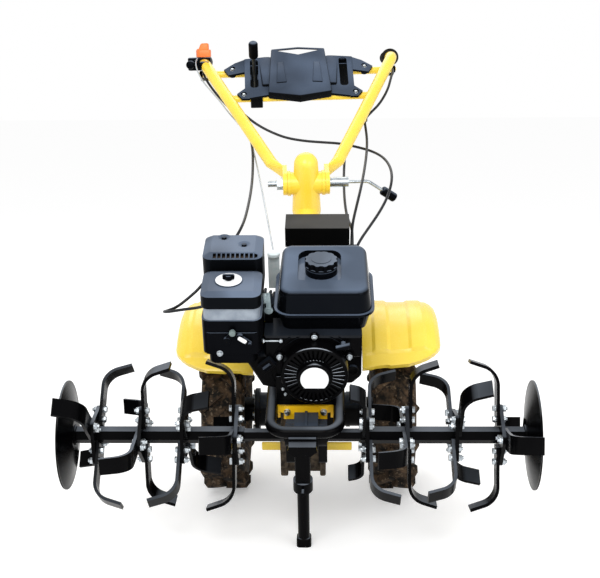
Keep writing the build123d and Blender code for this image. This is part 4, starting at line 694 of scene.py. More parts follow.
def joined(pieces: Sequence[Piece], name: str) -> Piece:
    """Joins pieces into one mesh at the origin.

    Args:
        pieces: what is joined.
        name: name of the joined piece.

    Returns:
        The joined piece.
    """
    deselect()
    for piece in pieces:
        piece.select_set(True)
    bpy.context.view_layer.objects.active = pieces[0]
    if len(pieces) > 1:
        bpy.ops.object.join()
    bpy.ops.object.transform_apply(location=True, rotation=True, scale=True)
    pieces[0].name = name
    return pieces[0]


def settled(parts: Sequence[Piece], place: Matrix, name: str) -> Piece:
    """Joins parts that were modelled round the origin and sets them down at their place.

    Args:
        parts: the parts.
        place: where they go, as one piece.
        name: name of the piece.

    Returns:
        The piece, with its place in its mesh.
    """
    piece = joined(parts, name)
    piece.matrix_world = place
    return joined([piece], name)


def ring(count: int, start: float = 0.0) -> list[float]:
    """Spreads angles evenly round a circle.

    Args:
        count: how many there are.
        start: the first one, in degrees.

    Returns:
        The angles, in radians.
    """
    return [radians(start + 360.0 / count * i) for i in range(count)]


def seat(at: Vector, axis: Vector, roll: float = 0.0) -> Matrix:
    """Places a piece that was modelled upright at the origin.

    Args:
        at: where its foot goes.
        axis: direction that it stands in.
        roll: turn about that direction, in degrees.

    Returns:
        The place as a matrix.
    """
    stand = axis.to_track_quat("Z", "Y").to_matrix().to_4x4()
    return Matrix.Translation(at) @ stand @ Matrix.Rotation(radians(roll), 4, "Z")


def copies(model: Piece, places: Iterable[Matrix], name: str) -> Piece:
    """Copies a model to several places, as one piece.

    Args:
        model: the piece to copy, which goes.
        places: where the copies go.
        name: name of the piece.

    Returns:
        The piece made of all the copies.
    """
    made = []
    for place in places:
        piece = model.copy()
        piece.data = model.data.copy()
        bpy.context.collection.objects.link(piece)
        piece.matrix_world = place
        made.append(piece)
    bpy.data.objects.remove(model)
    return joined(made, name)


def finish_piece(piece: Piece, finish: Finish, body: Body, angle: float = 40.0) -> None:
    """Gives a piece its shading, its finish and the body that it rides on.

    Args:
        piece: the piece.
        finish: its finish.
        body: the body that carries it.
        angle: edges sharper than this stay sharp, in degrees.
    """
    only(piece)
    bpy.ops.object.shade_smooth_by_angle(angle=radians(angle))
    piece.data.materials.clear()
    piece.data.materials.append(finish.material())
    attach(piece, body.value)
    LOG.info("made %s on %s", piece.name, body.value)


def dress(finish: Finish, *nodes: str) -> None:
    """Gives CAD pieces a finish.

    Args:
        finish: the finish.
        nodes: names of the pieces.
    """
    for name in nodes:
        mesh = frame["nodes"][name].data
        mesh.materials.clear()
        mesh.materials.append(finish.material())
        LOG.info("dressed %s in %s", name, finish.name)


@dataclass(frozen=True)
class Fastener:
    """A hexagon over a washer, with a stub of thread where it is a nut."""

    flats: float
    head: float
    washer: float
    stub: float = 0.0
    washer_t: float = 1.8
    washer_edge: float = 0.4
    stub_edge: float = 0.5
    chamfer: float = 0.06
    thread: float = 0.29

    def model(self) -> Piece:
        """Models the fastener upright at the origin, its washer's foot at zero.

        Returns:
            The fastener.
        """
        parts = [turned_bar(self.washer, self.washer_t, 20, 0.0, self.washer_edge)]
        edge = self.flats * self.chamfer
        parts.append(turned_bar(self.flats / sqrt(3), self.head, 6, self.washer_t, edge))
        if self.stub:
            top = self.washer_t + self.head
            parts.append(turned_bar(self.flats * self.thread, self.stub, 12, top, self.stub_edge))
        return joined(parts, "fastener")

    def fit(self, places: Iterable[Matrix], name: str, body: Body, finish: Finish = ZINC_PLATE) -> None:
        """Fits copies of the fastener, as one piece.

        Args:
            places: where the washers' feet go.
            name: name of the piece.
            body: the body that carries it.
            finish: its finish.
        """
        finish_piece(copies(self.model(), places, name), finish, body)


M8_NUT = Fastener(13.0, 6.0, 7.8, stub=3.5)
M8_BOLT = Fastener(13.0, 5.3, 7.8)
M6_BOLT = Fastener(10.0, 4.4, 7.0)
M5_SCREW = Fastener(8.0, 3.4, 6.0, washer_t=1.0)
M4_SCREW = Fastener(6.0, 2.6, 3.8, washer_t=0.8)


# Sub-assemblies

@dataclass(frozen=True)
class Hub:
    """One tine plate on the shaft: its place, its turn and the ways that its four blades face."""

    x: float
    phase: float
    ways: tuple[int, int, int, int]


@dataclass
class Rotor:
    """Tine shaft, sleeves, blades and side discs, with the bolts that hold the blades."""

    axis_y: float = -398.0
    axis_z: float = 216.0
    plate_t: float = 8.0
    blade_t: float = 7.0
    bolt_radii: tuple[float, float] = (36.0, 60.0)
    bolt_roll: float = 37.0
    disc_face: float = 506.0
    disc_bolt_r: float = 27.0
    disc_bolt_roll: float = 20.0
    left: tuple[Hub, ...] = (
        Hub(-455.0, -35.0, (1, -1, 1, -1)), Hub(-352.0, 10.0, (1, -1, 1, -1)),
        Hub(-258.0, -41.0, (-1, 1, -1, 1)), Hub(-139.0, -6.0, (-1, -1, -1, -1)),
    )
    right: tuple[Hub, ...] = (
        Hub(151.0, -47.0, (1, -1, 1, -1)), Hub(239.0, 5.0, (1, -1, 1, -1)),
        Hub(347.0, -51.0, (-1, 1, -1, 1)), Hub(448.0, -6.0, (-1, 1, -1, 1)),
    )

    def spot(self, x: float, radius: float, angle: float) -> Vector:
        """Returns a point of the rotor, at an angle from straight up, in metres."""
        centre = MACHINE.point(0.0, self.axis_y, self.axis_z)
        turn = radians(angle)
        return centre + Vector((x, -radius * sin(turn), radius * cos(turn))) * MM

    def bolt_places(self, hubs: Iterable[Hub]) -> tuple[list[Matrix], list[Matrix]]:
        """Finds where the blade bolts and their nuts go.

        Args:
            hubs: the tine plates of one side.

        Returns:
            Places of the bolt heads and of the nuts.
        """
        heads, nuts = [], []
        for hub in hubs:
            for quarter, way in enumerate(hub.ways):
                outside = way * (self.plate_t / 2 + self.blade_t)
                behind = -way * self.plate_t / 2
                for i, radius in enumerate(self.bolt_radii):
                    angle = hub.phase + 90.0 * quarter
                    roll = self.bolt_roll * (quarter + 2 * i) + hub.x
                    heads.append(seat(self.spot(hub.x + outside, radius, angle), Vector((way, 0, 0)), roll))
                    nuts.append(seat(self.spot(hub.x + behind, radius, angle), Vector((-way, 0, 0)), roll))
        return heads, nuts

    def build(self) -> None:
        """Models the bolts of both sides and the bolts of the side discs."""
        for side, hubs in ((Side.LEFT, self.left), (Side.RIGHT, self.right)):
            name = side.name.lower()
            heads, nuts = self.bolt_places(hubs)
            M8_BOLT.fit(heads, f"blade_bolts_{name}", Body.ROTOR)
            M8_NUT.fit(nuts, f"blade_nuts_{name}", Body.ROTOR)
            axis = Vector((side.value, 0, 0))
            spots = []
            for i in range(4):
                spot = self.spot(side.value * self.disc_face, self.disc_bolt_r, 45.0 + 90.0 * i)
                spots.append(seat(spot, axis, self.disc_bolt_roll * i))
            M8_BOLT.fit(spots, f"disc_bolts_{name}", Body.ROTOR)

    def dress(self) -> None:
        """Paints the rotor gloss black."""
        dress(BLACK_ENAMEL, "tine_shaft", "tine_sleeve_left", "tine_sleeve_right", "tine_blades_left",
              "tine_blades_right", "side_disc_left", "side_disc_right")


@dataclass
class Wheels:
    """Axle, rims and lugged tyres, with the rims' bolts."""

    track: float = 428.0
    bolts: int = 5
    bolt_start: float = 36.0
    bolt_circle: float = 45.0
    bolt_face: float = 8.0
    bolt_roll: float = 15.0

    def build(self) -> None:
        """Models the bolts of each rim."""
        axle = Vector(MACHINE.joint("wheel_spin")["pos_m"])
        for side in Side:
            name = side.name.lower()
            out = Vector((side.value, 0, 0))
            face = axle + out * (self.track / 2 + self.bolt_face) * MM
            spots = []
            for i, turn in enumerate(ring(self.bolts, self.bolt_start)):
                reach = Vector((0, cos(turn), sin(turn))) * self.bolt_circle * MM
                spots.append(seat(face + reach, out, self.bolt_roll * i))
            M8_BOLT.fit(spots, f"rim_bolts_{name}", Body.WHEELS)

    def dress(self) -> None:
        """Dresses the axle, rims and tyres."""
        dress(ZINC_PLATE, "wheel_axle")
        dress(BLACK_ENAMEL, "rim_left", "rim_right")
        dress(TYRE_RUBBER, "tyre_left", "tyre_right")


@dataclass
class Fender:
    """A pressed fender over one wheel: ribs along it, a plain front band, a round corner and turned edges."""

    side: Side
    radius: float = 280.0
    inner: float = 132.0
    outer: float = 326.0
    rear: float = 28.0
    front_in: float = 123.5
    front_out: float = 119.5
    fall: tuple[Spot, ...] = ((300.0, 279.0), (312.0, 273.0), (321.0, 264.0), (326.0, 252.0))
    ribs: tuple[Spot, ...] = ((164.0, 193.0), (253.0, 283.0))
    rib_h: float = 4.5
    rib_slope: float = 8.0
    corner_r: float = 85.0
    corner_cuts: int = 7
    band: float = 36.0
    band_slope: float = 8.0
    band_sink: float = 3.0
    lip: float = 18.0
    fold_r: float = 4.0
    fold_angle: float = 12.0
    sheet: float = 2.0
    steps: int = 36
    overrun: float = 3.0
    weld: float = 0.1

    def section(self) -> list[tuple[float, float]]:
        """Returns the section across the fender, as x and radius."""
        line = [(self.inner, self.radius)]
        for start, end in self.ribs:
            top = self.radius + self.rib_h
            line += [(start - self.rib_slope, self.radius), (start, top), (end, top)]
            line.append((end + self.rib_slope, self.radius))
        return line + list(self.fall)

    def trims(self) -> list[Cut]:
        """Returns the planes that trim the slanted front edge and round its outer corner."""
        a = Vector((self.inner, self.radius * cos(radians(self.front_in))))
        b = Vector((self.outer, self.radius * cos(radians(self.front_out))))
        edge = (b - a).normalized()
        ahead = Vector((edge.y, -edge.x))
        x = self.outer - self.corner_r
        y = a.y - (self.corner_r + ahead.x * (x - a.x)) / ahead.y
        cuts = [(a, ahead)]
        start = atan2(ahead.y, ahead.x)
        for i in range(self.corner_cuts):
            turn = start * (1 - (i + 1) / (self.corner_cuts + 1))
            way = Vector((cos(turn), sin(turn)))
            cuts.append((Vector((x, y)) + way * self.corner_r, way))
        hand = self.side.value
        return [(Vector((hand * at.x, at.y, 0)), Vector((hand * way.x, way.y, 0))) for at, way in cuts]

    def end_ribs(self, skin: Piece) -> None:
        """Ends the ribs short of the front edge, which is a plain band set a little lower.

        Args:
            skin: the trimmed sheet, in edit mode.
        """
        at, ahead = self.trims()[0]
        start = (at - ahead * self.band) * MM
        for line in (start, start + ahead * self.band_slope * MM):
            bpy.ops.mesh.select_all(action="SELECT")
            bpy.ops.mesh.bisect(plane_co=line, plane_no=ahead)
        mesh = bmesh.from_edit_mesh(skin.data)
        for vert in mesh.verts:
            share = min(max((vert.co - start).dot(ahead) / (self.band_slope * MM), 0.0), 1.0)
            reach = vert.co.yz.length
            drop = max(reach - self.radius * MM, 0.0) + self.band_sink * MM
            vert.co.yz = vert.co.yz * (1 - share * drop / reach)
        bmesh.update_edit_mesh(skin.data)

    def turn_edges(self, skin: Piece) -> None:
        """Turns every open edge but the rear one in towards the axle.

        Args:
            skin: the trimmed sheet, in edit mode.
        """
        bpy.ops.mesh.select_mode(type="EDGE")
        bpy.ops.mesh.select_all(action="DESELECT")
        mesh = bmesh.from_edit_mesh(skin.data)
        for edge in mesh.edges:
            rear = all(atan2(v.co.z, v.co.y) < radians(self.rear + 1) for v in edge.verts)
            edge.select_set(edge.is_boundary and not rear)
        bmesh.update_edit_mesh(skin.data)
        shrink = 1 - self.lip / self.radius
        bpy.ops.mesh.extrude_region_move()
        bpy.ops.transform.resize(value=(1, shrink, shrink), center_override=(0, 0, 0))

    def build(self) -> None:
        """Spins the section round the axle, trims it, ends its ribs, turns its edges and thickens it."""
        hand = self.side.value
        rear = radians(self.rear)
        skin = chain([Vector((hand * x, r * cos(rear), r * sin(rear))) for x, r in self.section()])
        sweep = radians(self.front_in + self.overrun - self.rear)
        bpy.ops.mesh.spin(steps=self.steps, angle=-sweep, center=(0, 0, 0), axis=(1, 0, 0))
        for at, away in self.trims():
            bpy.ops.mesh.select_all(action="SELECT")
            bpy.ops.mesh.bisect(plane_co=at * MM, plane_no=away, clear_outer=True)
        bpy.ops.mesh.select_all(action="SELECT")
        bpy.ops.mesh.remove_doubles(threshold=self.weld * MM)
        self.end_ribs(skin)
        self.turn_edges(skin)
        bpy.ops.mesh.select_all(action="SELECT")
        bpy.ops.mesh.normals_make_consistent(inside=False)
        faces = bmesh.from_edit_mesh(skin.data).faces
        if sum(f.normal.yz.dot(f.calc_center_median().yz) * f.calc_area() for f in faces) < 0:
            bpy.ops.mesh.flip_normals()
        bpy.ops.object.mode_set(mode="OBJECT")
        rounded(skin, self.fold_r, 3, self.fold_angle)
        only(skin)
        step = skin.modifiers.new("sheet", "SOLIDIFY")
        step.thickness = self.sheet * MM
        bpy.ops.object.modifier_apply(modifier=step.name)
        name = self.side.name.lower()
        piece = settled([skin], MACHINE.level(MACHINE.axle_x, 0, 0), f"fender_sheet_{name}")
        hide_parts(f"fender_{name}")
        finish_piece(piece, YELLOW_ENAMEL, Body.CHASSIS)


@dataclass
class Chassis:
    """Gear case, axle housings, clutch, frame, bumper, rotor drive, stand, fenders and hitch."""

    clutch_r: float = 90.0
    clutch_face: float = -120.0
    clutch_bolts: int = 8
    clutch_roll: float = 10.0
    frame_y: float = -351.0
    frame_bolts: tuple[Spot, ...] = ((-28.0, 246.0), (54.0, 246.0))
    skirt: tuple[Block, ...] = (
        ((-50.0, -290.0, 10.0), (-32.0, -180.0, 126.0)), ((44.0, -290.0, 10.0), (58.0, -180.0, 126.0)),
        ((-34.0, -272.0, 10.0), (46.0, -180.0, 124.0)),
    )
    skirt_edge: float = 4.0
    low_bar: Block = ((-97.0, -237.0, 47.0), (121.0, -229.0, 69.0))
    bar_edge: float = 3.0
    left_front_in: float = 126.0
    left_front_out: float = 124.0
    axle_bore: float = 22.0
    housing_r: float = 44.0
    housing_from: float = 60.0
    housing_end: float = 141.0
    housing_inset: float = 1.0
    cap_r: float = 55.0
    cap_t: float = 12.0
    cap_edge: float = 2.0
    cap_bolts: int = 6
    cap_bolt_r: float = 47.0

    def build(self) -> None:
        """Models the fenders, the underside, the axle housings and the bolts of clutch and frame."""
        ahead = MACHINE.direction(0, -1, 0)
        spots = []
        for i, turn in enumerate(ring(self.clutch_bolts)):
            x = MACHINE.crank_x + self.clutch_r * cos(turn)
            z = MACHINE.crank_z + self.clutch_r * sin(turn)
            spots.append(seat(MACHINE.point(x, self.clutch_face, z), ahead, self.clutch_roll * i))
        M6_BOLT.fit(spots, "clutch_bolts", Body.CHASSIS)
        spots = [seat(MACHINE.point(x, self.frame_y, z), ahead, x) for x, z in self.frame_bolts]
        M8_BOLT.fit(spots, "frame_bolts", Body.CHASSIS)
        Fender(Side.LEFT, front_in=self.left_front_in, front_out=self.left_front_out).build()
        Fender(Side.RIGHT).build()
        self.build_underside()
        self.build_axle_housings()

    def build_underside(self) -> None:
        """Models what shows below the shaft: the case's skirt with its two legs, and the frame's low bar."""
        home = MACHINE.level(0, 0, 0)
        parts = [rounded(carved(*block), self.skirt_edge) for block in self.skirt]
        finish_piece(settled(parts, home, "case_skirt"), SOILED_CASTING, Body.CHASSIS)
        bar = settled([rounded(carved(*self.low_bar), self.bar_edge)], home, "low_frame_bar")
        finish_piece(bar, YELLOW_ENAMEL, Body.CHASSIS)

    def build_axle_housings(self) -> None:
        """Models the bearing housings that carry the axle out of the gear case, each with a bolted cap."""
        for side in Side:
            name = side.name.lower()
            place = seat(MACHINE.point(MACHINE.axle_x, 0, 0), Vector((side.value, 0, 0)))
            length = self.housing_end - self.housing_inset - self.housing_from
            tube = turned_bar(self.housing_r, length, 48, self.housing_from)
            cap = turned_bar(self.cap_r, self.cap_t, 48, self.housing_end - self.cap_t, self.cap_edge)
            combined(tube, cap, Merge.WELD)
            combined(tube, turned_bar(self.axle_bore, 2 * self.housing_end, 40), Merge.CUT)
            housing = settled([tube], place, f"axle_housing_{name}")
            finish_piece(housing, PAINTED_CASTING, Body.CHASSIS)
            spots = []
            for turn in ring(self.cap_bolts):
                foot = Vector((self.cap_bolt_r * cos(turn), self.cap_bolt_r * sin(turn), self.housing_end))
                spots.append(place @ Matrix.Translation(foot * MM))
            M6_BOLT.fit(spots, f"cap_bolts_{name}", Body.CHASSIS)

    def dress(self) -> None:
        """Dresses castings, painted steel and the plain box."""
        dress(SHADED_FRAME_ENAMEL, "engine_frame")
        dress(YELLOW_ENAMEL, "fender_stays", "hitch_bracket")
        dress(PAINTED_CASTING, "gear_case", "clutch_housing", "tine_drive_case")
        dress(BLACK_ENAMEL, "front_bumper", "stand_socket", "stand_leg")
        dress(BOX_PAINT, "black_box")


@dataclass
class Engine:
    """Crankcase, head, fan cover, recoil starter, tank and fuel cap."""

    nose_y: float = -397.0
    ear_y: float = -357.0
    ear_r: float = 83.0
    ear_root: float = 68.0
    ear_size: float = 10.0
    ears: tuple[float, ...] = (90.0, 157.0, 23.0)
    ear_t: float = 7.0
    ear_edge: float = 1.0
    flange: Block = ((-87.0, -97.0, 1.8), (47.0, -20.0, 6.5))
    flange_edge: float = 2.0
    flange_y: float = -356.5
    low_screws: tuple[Spot, ...] = ((-36.4, 312.0), (-31.0, 298.0))
    drum_y: float = -350.0
    drum_r: float = 74.0
    drum_depth: float = 36.0
    drum_edge: float = 4.0
    rim: float = 3.0
    dish: float = 3.0
    dish_wall: float = 0.3
    slots: int = 36
    slot_depth: float = 8.0
    slot_end: float = 64.0
    slot_edge: float = 0.7
    slot_draft: float = 0.1
    nose_foot: float = 40.0
    nose_r: float = 38.5
    nose_edge: float = 2.0
    plate_r: float = 31.0
    plate_flat: float = 22.8
    plate_t: float = 1.6
    plate_edge: float = 0.5
    plate_rim: float = 1.6
    plate_sink: float = 0.4
    flank_low: Point = (96.0, -212.0, 226.0)
    flank_high: Point = (143.0, -152.0, 312.0)
    flank_slant: float = 22.0
    flank_edge: float = 6.0
    plug_at: Point = (122.0, -211.0, 268.0)
    plug_r: float = 13.0
    plug_len: float = 9.0
    plug_edge: float = 2.0
    plug_dish: Spot = (4.0, -2.0)

    def between_slots(self, face: bmesh.types.BMFace) -> bool:
        """Says whether a face of the drum's ring is one of the slots."""
        centre = face.calc_center_median()
        reach = centre.xy.length / MM
        turn = floor((atan2(centre.y, centre.x) % tau) / tau * 2 * self.slots)
        return top_face(face) and self.nose_foot < reach < self.slot_end and turn % 2 == 0

    def model_drum(self) -> Piece:
        """Models the starter's drum with its slotted face and the nose for its plate.

        Returns:
            The drum, upright at the origin.
        """
        drum = turned_bar(self.drum_r, self.drum_depth, 2 * self.slots)
        pick_faces(drum, top_face)
        bpy.ops.mesh.bevel(offset=self.drum_edge * MM, segments=3, affect="EDGES")
        pick_faces(drum, top_face)
        bpy.ops.mesh.inset(thickness=self.rim * MM, depth=0)
        bpy.ops.mesh.inset(thickness=self.dish_wall * MM, depth=-self.dish * MM)
        inside = self.drum_r - self.drum_edge - self.rim - self.dish_wall
        bpy.ops.mesh.inset(thickness=(inside - self.nose_foot) * MM, depth=0)
        rise = self.drum_y - self.nose_y - self.drum_depth + self.dish
        bpy.ops.mesh.extrude_region_move(TRANSFORM_OT_translate={"value": (0, 0, rise * MM)})
        taper = self.nose_r / self.nose_foot
        bpy.ops.transform.resize(value=(taper, taper, 1), center_override=(0, 0, 0))
        bpy.ops.mesh.bevel(offset=self.nose_edge * MM, segments=2, affect="EDGES")
        pick_faces(drum, self.between_slots)
        for width, depth in ((self.slot_edge, self.slot_edge), (self.slot_draft, self.slot_depth)):
            bpy.ops.mesh.inset(thickness=width * MM, depth=-depth * MM, use_individual=True)
        bpy.ops.object.mode_set(mode="OBJECT")
        return drum

    def build_starter(self) -> None:
        """Models the recoil starter: its drum, three ears and the flange beside it."""
        drum = self.model_drum()
        spots = []
        for angle in self.ears:
            for reach in (self.ear_r, self.ear_root):
                turn = radians(angle)
                spots.append(Matrix.Translation(Vector((cos(turn), sin(turn), 0)) * reach * MM))
        ears = copies(turned_bar(self.ear_size, self.ear_t, 24, 0.0, self.ear_edge), spots, "ears")
        flange = rounded(carved(*self.flange), self.flange_edge, 2)
        place = MACHINE.facing(MACHINE.crank_x, self.drum_y, MACHINE.crank_z)
        cover = settled([drum, ears, flange], place, "recoil_cover")
        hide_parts("recoil_starter")
        finish_piece(cover, STARTER_MOULDING, Body.CHASSIS, 30.0)

    def build_plate(self) -> None:
        """Models the bare white plate on the starter's nose: a disc with a flat foot and a raised rim."""
        plate = turned_bar(self.plate_r, self.plate_t, 64)
        only(plate)
        bpy.ops.object.mode_set(mode="EDIT")
        bpy.ops.mesh.select_all(action="SELECT")
        bpy.ops.mesh.bisect(plane_co=(0, -self.plate_flat * MM, 0), plane_no=(0, -1, 0), use_fill=True,
                            clear_outer=True)
        bpy.ops.object.mode_set(mode="OBJECT")
        pick_faces(plate, top_face)
        bpy.ops.mesh.bevel(offset=self.plate_edge * MM, segments=2, affect="EDGES")
        dished(plate, self.plate_rim, self.plate_sink)
        place = MACHINE.facing(MACHINE.crank_x, self.nose_y, MACHINE.crank_z)
        finish_piece(settled([plate], place, "starter_plate"), WHITE_PLATE, Body.CHASSIS)

    def build_flank(self) -> None:
        """Models the crankcase's bulge beside the frame, with its round oil plug."""
        x, y, z = self.flank_high[0], self.flank_low[1], self.flank_low[2]
        cut = self.flank_slant
        slant = facet((x, y, z + cut), (x, self.flank_high[1], z + cut), (x - cut, y, z), (1, 0, -1))
        flank = rounded(carved(self.flank_low, self.flank_high, [slant]), self.flank_edge)
        flank.matrix_world = MACHINE.level(0, 0, 0)
        plug = stepped(turned_bar(self.plug_r, self.plug_len, 40, 0.0, self.plug_edge), [self.plug_dish])
        plug.matrix_world = MACHINE.facing(*self.plug_at)
        finish_piece(joined([flank, plug], "crankcase_flank"), ENGINE_CASTING, Body.CHASSIS)

    def build(self) -> None:
        """Models the starter with its plate and screws, and the crankcase's flank."""
        self.build_starter()
        self.build_plate()
        self.build_flank()
        ahead = MACHINE.direction(0, -1, 0)
        spots = []
        for angle in self.ears:
            turn = radians(angle)
            x = MACHINE.crank_x + self.ear_r * cos(turn)
            z = MACHINE.crank_z + self.ear_r * sin(turn)
            spots.append(seat(MACHINE.point(x, self.ear_y, z), ahead, angle))
        M6_BOLT.fit(spots, "starter_bolts", Body.CHASSIS)
        spots = [seat(MACHINE.point(x, self.flange_y, z), ahead, x) for x, z in self.low_screws]
        M4_SCREW.fit(spots, "starter_screws", Body.CHASSIS)

    def dress(self) -> None:
        """Dresses the engine's castings, mouldings and tank."""
        dress(ENGINE_CASTING, "engine_block", "cylinder_head")
        dress(SHROUD_PAINT, "fan_cover")
        dress(BLACK_MOULDING, "starter_grip", "engine_switch", "fuel_cap")
        dress(TANK_ENAMEL, "fuel_tank")


@dataclass
class AirAndExhaust:
    """Air cleaner, its levers, carburettor, muffler with its guard, and the throttle's post."""

    knob_x: float = -148.0
    knob_y: float = -326.0
    cover_top: float = 573.0
    disc_r: float = 28.5
    disc_t: float = 1.3
    disc_foot: float = 1.2
    disc_edge: float = 0.3
    disc_hole: float = 8.0
    disc_sink: float = 0.6
    dish_floor: float = 594.0
    guard_screws: tuple[Spot, ...] = ((-168.0, -176.0), (-121.0, -210.0))
    front_y: float = -387.0
    base_bolt: Spot = (-169.0, 427.2)
    lever_front: float = -397.0
    lever_len: float = 26.0
    choke_at: Spot = (-152.0, 462.0)
    choke_lean: float = 60.0
    choke_r: float = 7.0
    choke_len: float = 8.0
    choke_foot: float = -3.0
    choke_edge: float = 2.0
    tap_at: Spot = (-124.0, 470.0)
    tap_lean: float = -35.0
    sleeve: Block = ((-4.0, -4.5, -4.0), (17.0, 4.5, 3.0))
    sleeve_edge: float = 3.0
    carb: Block = ((-100.0, -262.0, 430.0), (-64.0, -228.0, 486.0))
    carb_edge: float = 4.0
    carb_disc: Point = (-77.0, -262.0, 471.0)
    carb_disc_r: float = 13.0
    carb_disc_t: float = 9.0
    carb_disc_edge: float = 2.0
    carb_steps: tuple[Spot, ...] = ((4.0, 0.0), (1.0, -3.0))
    post: Block = ((-74.5, -126.0, 438.0), (-47.5, -122.0, 531.0))
    post_edge: float = 1.5
    collar_at: Point = (-61.0, -121.0, 523.0)
    collar_r: float = 14.5
    collar_len: float = 8.0
    collar_edge: float = 2.0
    bracket: Block = ((-75.0, -294.0, 446.0), (-57.0, -291.0, 495.0))
    bracket_edge: float = 1.0
    link_at: Point = (-77.3, -351.0, 437.5)
    link_len: float = 39.0
    link_half: float = 1.8
    link_from: float = 1.0
    link_to: float = 5.0
    eye_r: float = 4.6
    eye_t: float = 6.0
    link_edge: float = 1.2

    def build_disc(self) -> None:
        """Models the white ring under the wing nut."""
        disc = turned_bar(self.disc_r, self.disc_t, 56, self.disc_foot, self.disc_edge)
        dished(disc, self.disc_r - self.disc_hole, self.disc_sink)
        foot = MACHINE.point(self.knob_x, self.knob_y, self.cover_top)
        disc = settled([disc], seat(foot, MACHINE.direction(0, 0, 1)), "air_cover_disc")
        finish_piece(disc, WHITE_PLATE, Body.CHASSIS)

    def build_levers(self) -> None:
        """Models the choke's grey knob and the white sleeve of the fuel tap, which turn with their levers."""
        knob = turned_bar(self.choke_r, self.choke_len, 32, self.choke_foot, self.choke_edge)
        lean = radians(self.choke_lean)
        x, z = self.choke_at
        tip = (x + self.lever_len * cos(lean), self.lever_front, z + self.lever_len * sin(lean))
        knob = settled([knob], MACHINE.facing(*tip), "choke_knob")
        finish_piece(knob, GREY_KNOB, Body.CHOKE)
        x, z = self.tap_at
        place = MACHINE.facing(x, self.lever_front, z) @ Matrix.Rotation(radians(self.tap_lean), 4, "Z")
        sleeve = settled([rounded(carved(*self.sleeve), self.sleeve_edge)], place, "tap_sleeve")
        finish_piece(sleeve, WHITE_PLATE, Body.TAP)

    def build_carburettor(self) -> None:
        """Models the carburettor between air cleaner and tank, and the governor's link on the fan cover."""
        body = rounded(carved(*self.carb), self.carb_edge)
        body.matrix_world = MACHINE.level(0, 0, 0)
        disc = turned_bar(self.carb_disc_r, self.carb_disc_t, 40, 0.0, self.carb_disc_edge)
        stepped(disc, self.carb_steps)
        disc.matrix_world = MACHINE.facing(*self.carb_disc)
        finish_piece(joined([body, disc], "carburettor"), BARE_CASTING, Body.CHASSIS)
        low = (0, -self.link_half, self.link_from)
        rod = rounded(carved(low, (self.link_len, self.link_half, self.link_to)), self.link_edge, 2)
        spots = [Matrix.Translation((x * MM, 0, 0)) for x in (0.0, self.link_len)]
        eyes = copies(turned_bar(self.eye_r, self.eye_t, 24, 0.0, self.link_edge), spots, "eyes")
        link = settled([rod, eyes], MACHINE.facing(*self.link_at), "governor_link")
        finish_piece(link, ZINC_PLATE, Body.CHASSIS)

    def build_post(self) -> None:
        """Models the bright post with the collar of the throttle's wire, and the arm's dark bracket."""
        plate = rounded(carved(*self.post), self.post_edge)
        plate.matrix_world = MACHINE.level(0, 0, 0)
        collar = turned_bar(self.collar_r, self.collar_len, 40, 0.0, self.collar_edge)
        collar.matrix_world = MACHINE.level(*self.collar_at)
        post = joined([plate, collar], "cable_post")
        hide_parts("control_post")
        finish_piece(post, GALVANISED, Body.CHASSIS)
        bracket = rounded(carved(*self.bracket), self.bracket_edge, 2)
        bracket = settled([bracket], MACHINE.level(0, 0, 0), "arm_bracket")
        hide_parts("control_post")
        finish_piece(bracket, ENGINE_CASTING, Body.CHASSIS)

    def build(self) -> None:
        """Models the cover's ring, the levers' tips, the carburettor, the post and the screws."""
        self.build_disc()
        self.build_post()
        self.build_levers()
        self.build_carburettor()
        x, z = self.base_bolt
        spot = seat(MACHINE.point(x, self.front_y, z), MACHINE.direction(0, -1, 0))
        M6_BOLT.fit([spot], "base_bolt", Body.CHASSIS)
        up = MACHINE.direction(0, 0, 1)
        spots = [seat(MACHINE.point(x, y, self.dish_floor), up, x) for x, y in self.guard_screws]
        M6_BOLT.fit(spots, "guard_screws", Body.CHASSIS, ENGINE_CASTING)

    def dress(self) -> None:
        """Dresses mouldings, sheet metal and small levers."""
        dress(BLACK_MOULDING, "air_cleaner_base", "air_cleaner_knob", "choke_lever", "fuel_tap")
        dress(AIR_COVER_ABS, "air_cleaner_cover", "muffler_guard")
        dress(FILTER_BAND, "air_cleaner_band")
        dress(HOT_STEEL, "muffler")
        dress(BARE_CASTING, "throttle_arm")


@dataclass(frozen=True)
class Panel:
    """A flat part of the console: its block, and its outline's straight stretches as ends and way off."""

    low: Point
    high: Point
    outline: tuple[tuple[Spot, Spot, Spot], ...]

    def walls(self, hand: int) -> list[Cut]:
        """Returns the upright planes along the outline, on the left for -1 and on the right for 1."""
        cuts = []
        for a, b, way in self.outline:
            cuts.append(wall((hand * a[0], a[1]), (hand * b[0], b[1]), (hand * way[0], way[1], 0)))
        return cuts

    def model(self, hand: int, faces: Sequence[Cut]) -> Piece:
        """Carves the part out of its block.

        Args:
            hand: -1 for the left side, 1 for the right one.
            faces: planes of its upper and lower face.

        Returns:
            The part, in the console's axes.
        """
        low, high = (hand * self.low[0], *self.low[1:]), (hand * self.high[0], *self.high[1:])
        return carved(low, high, [*faces, *self.walls(hand)])


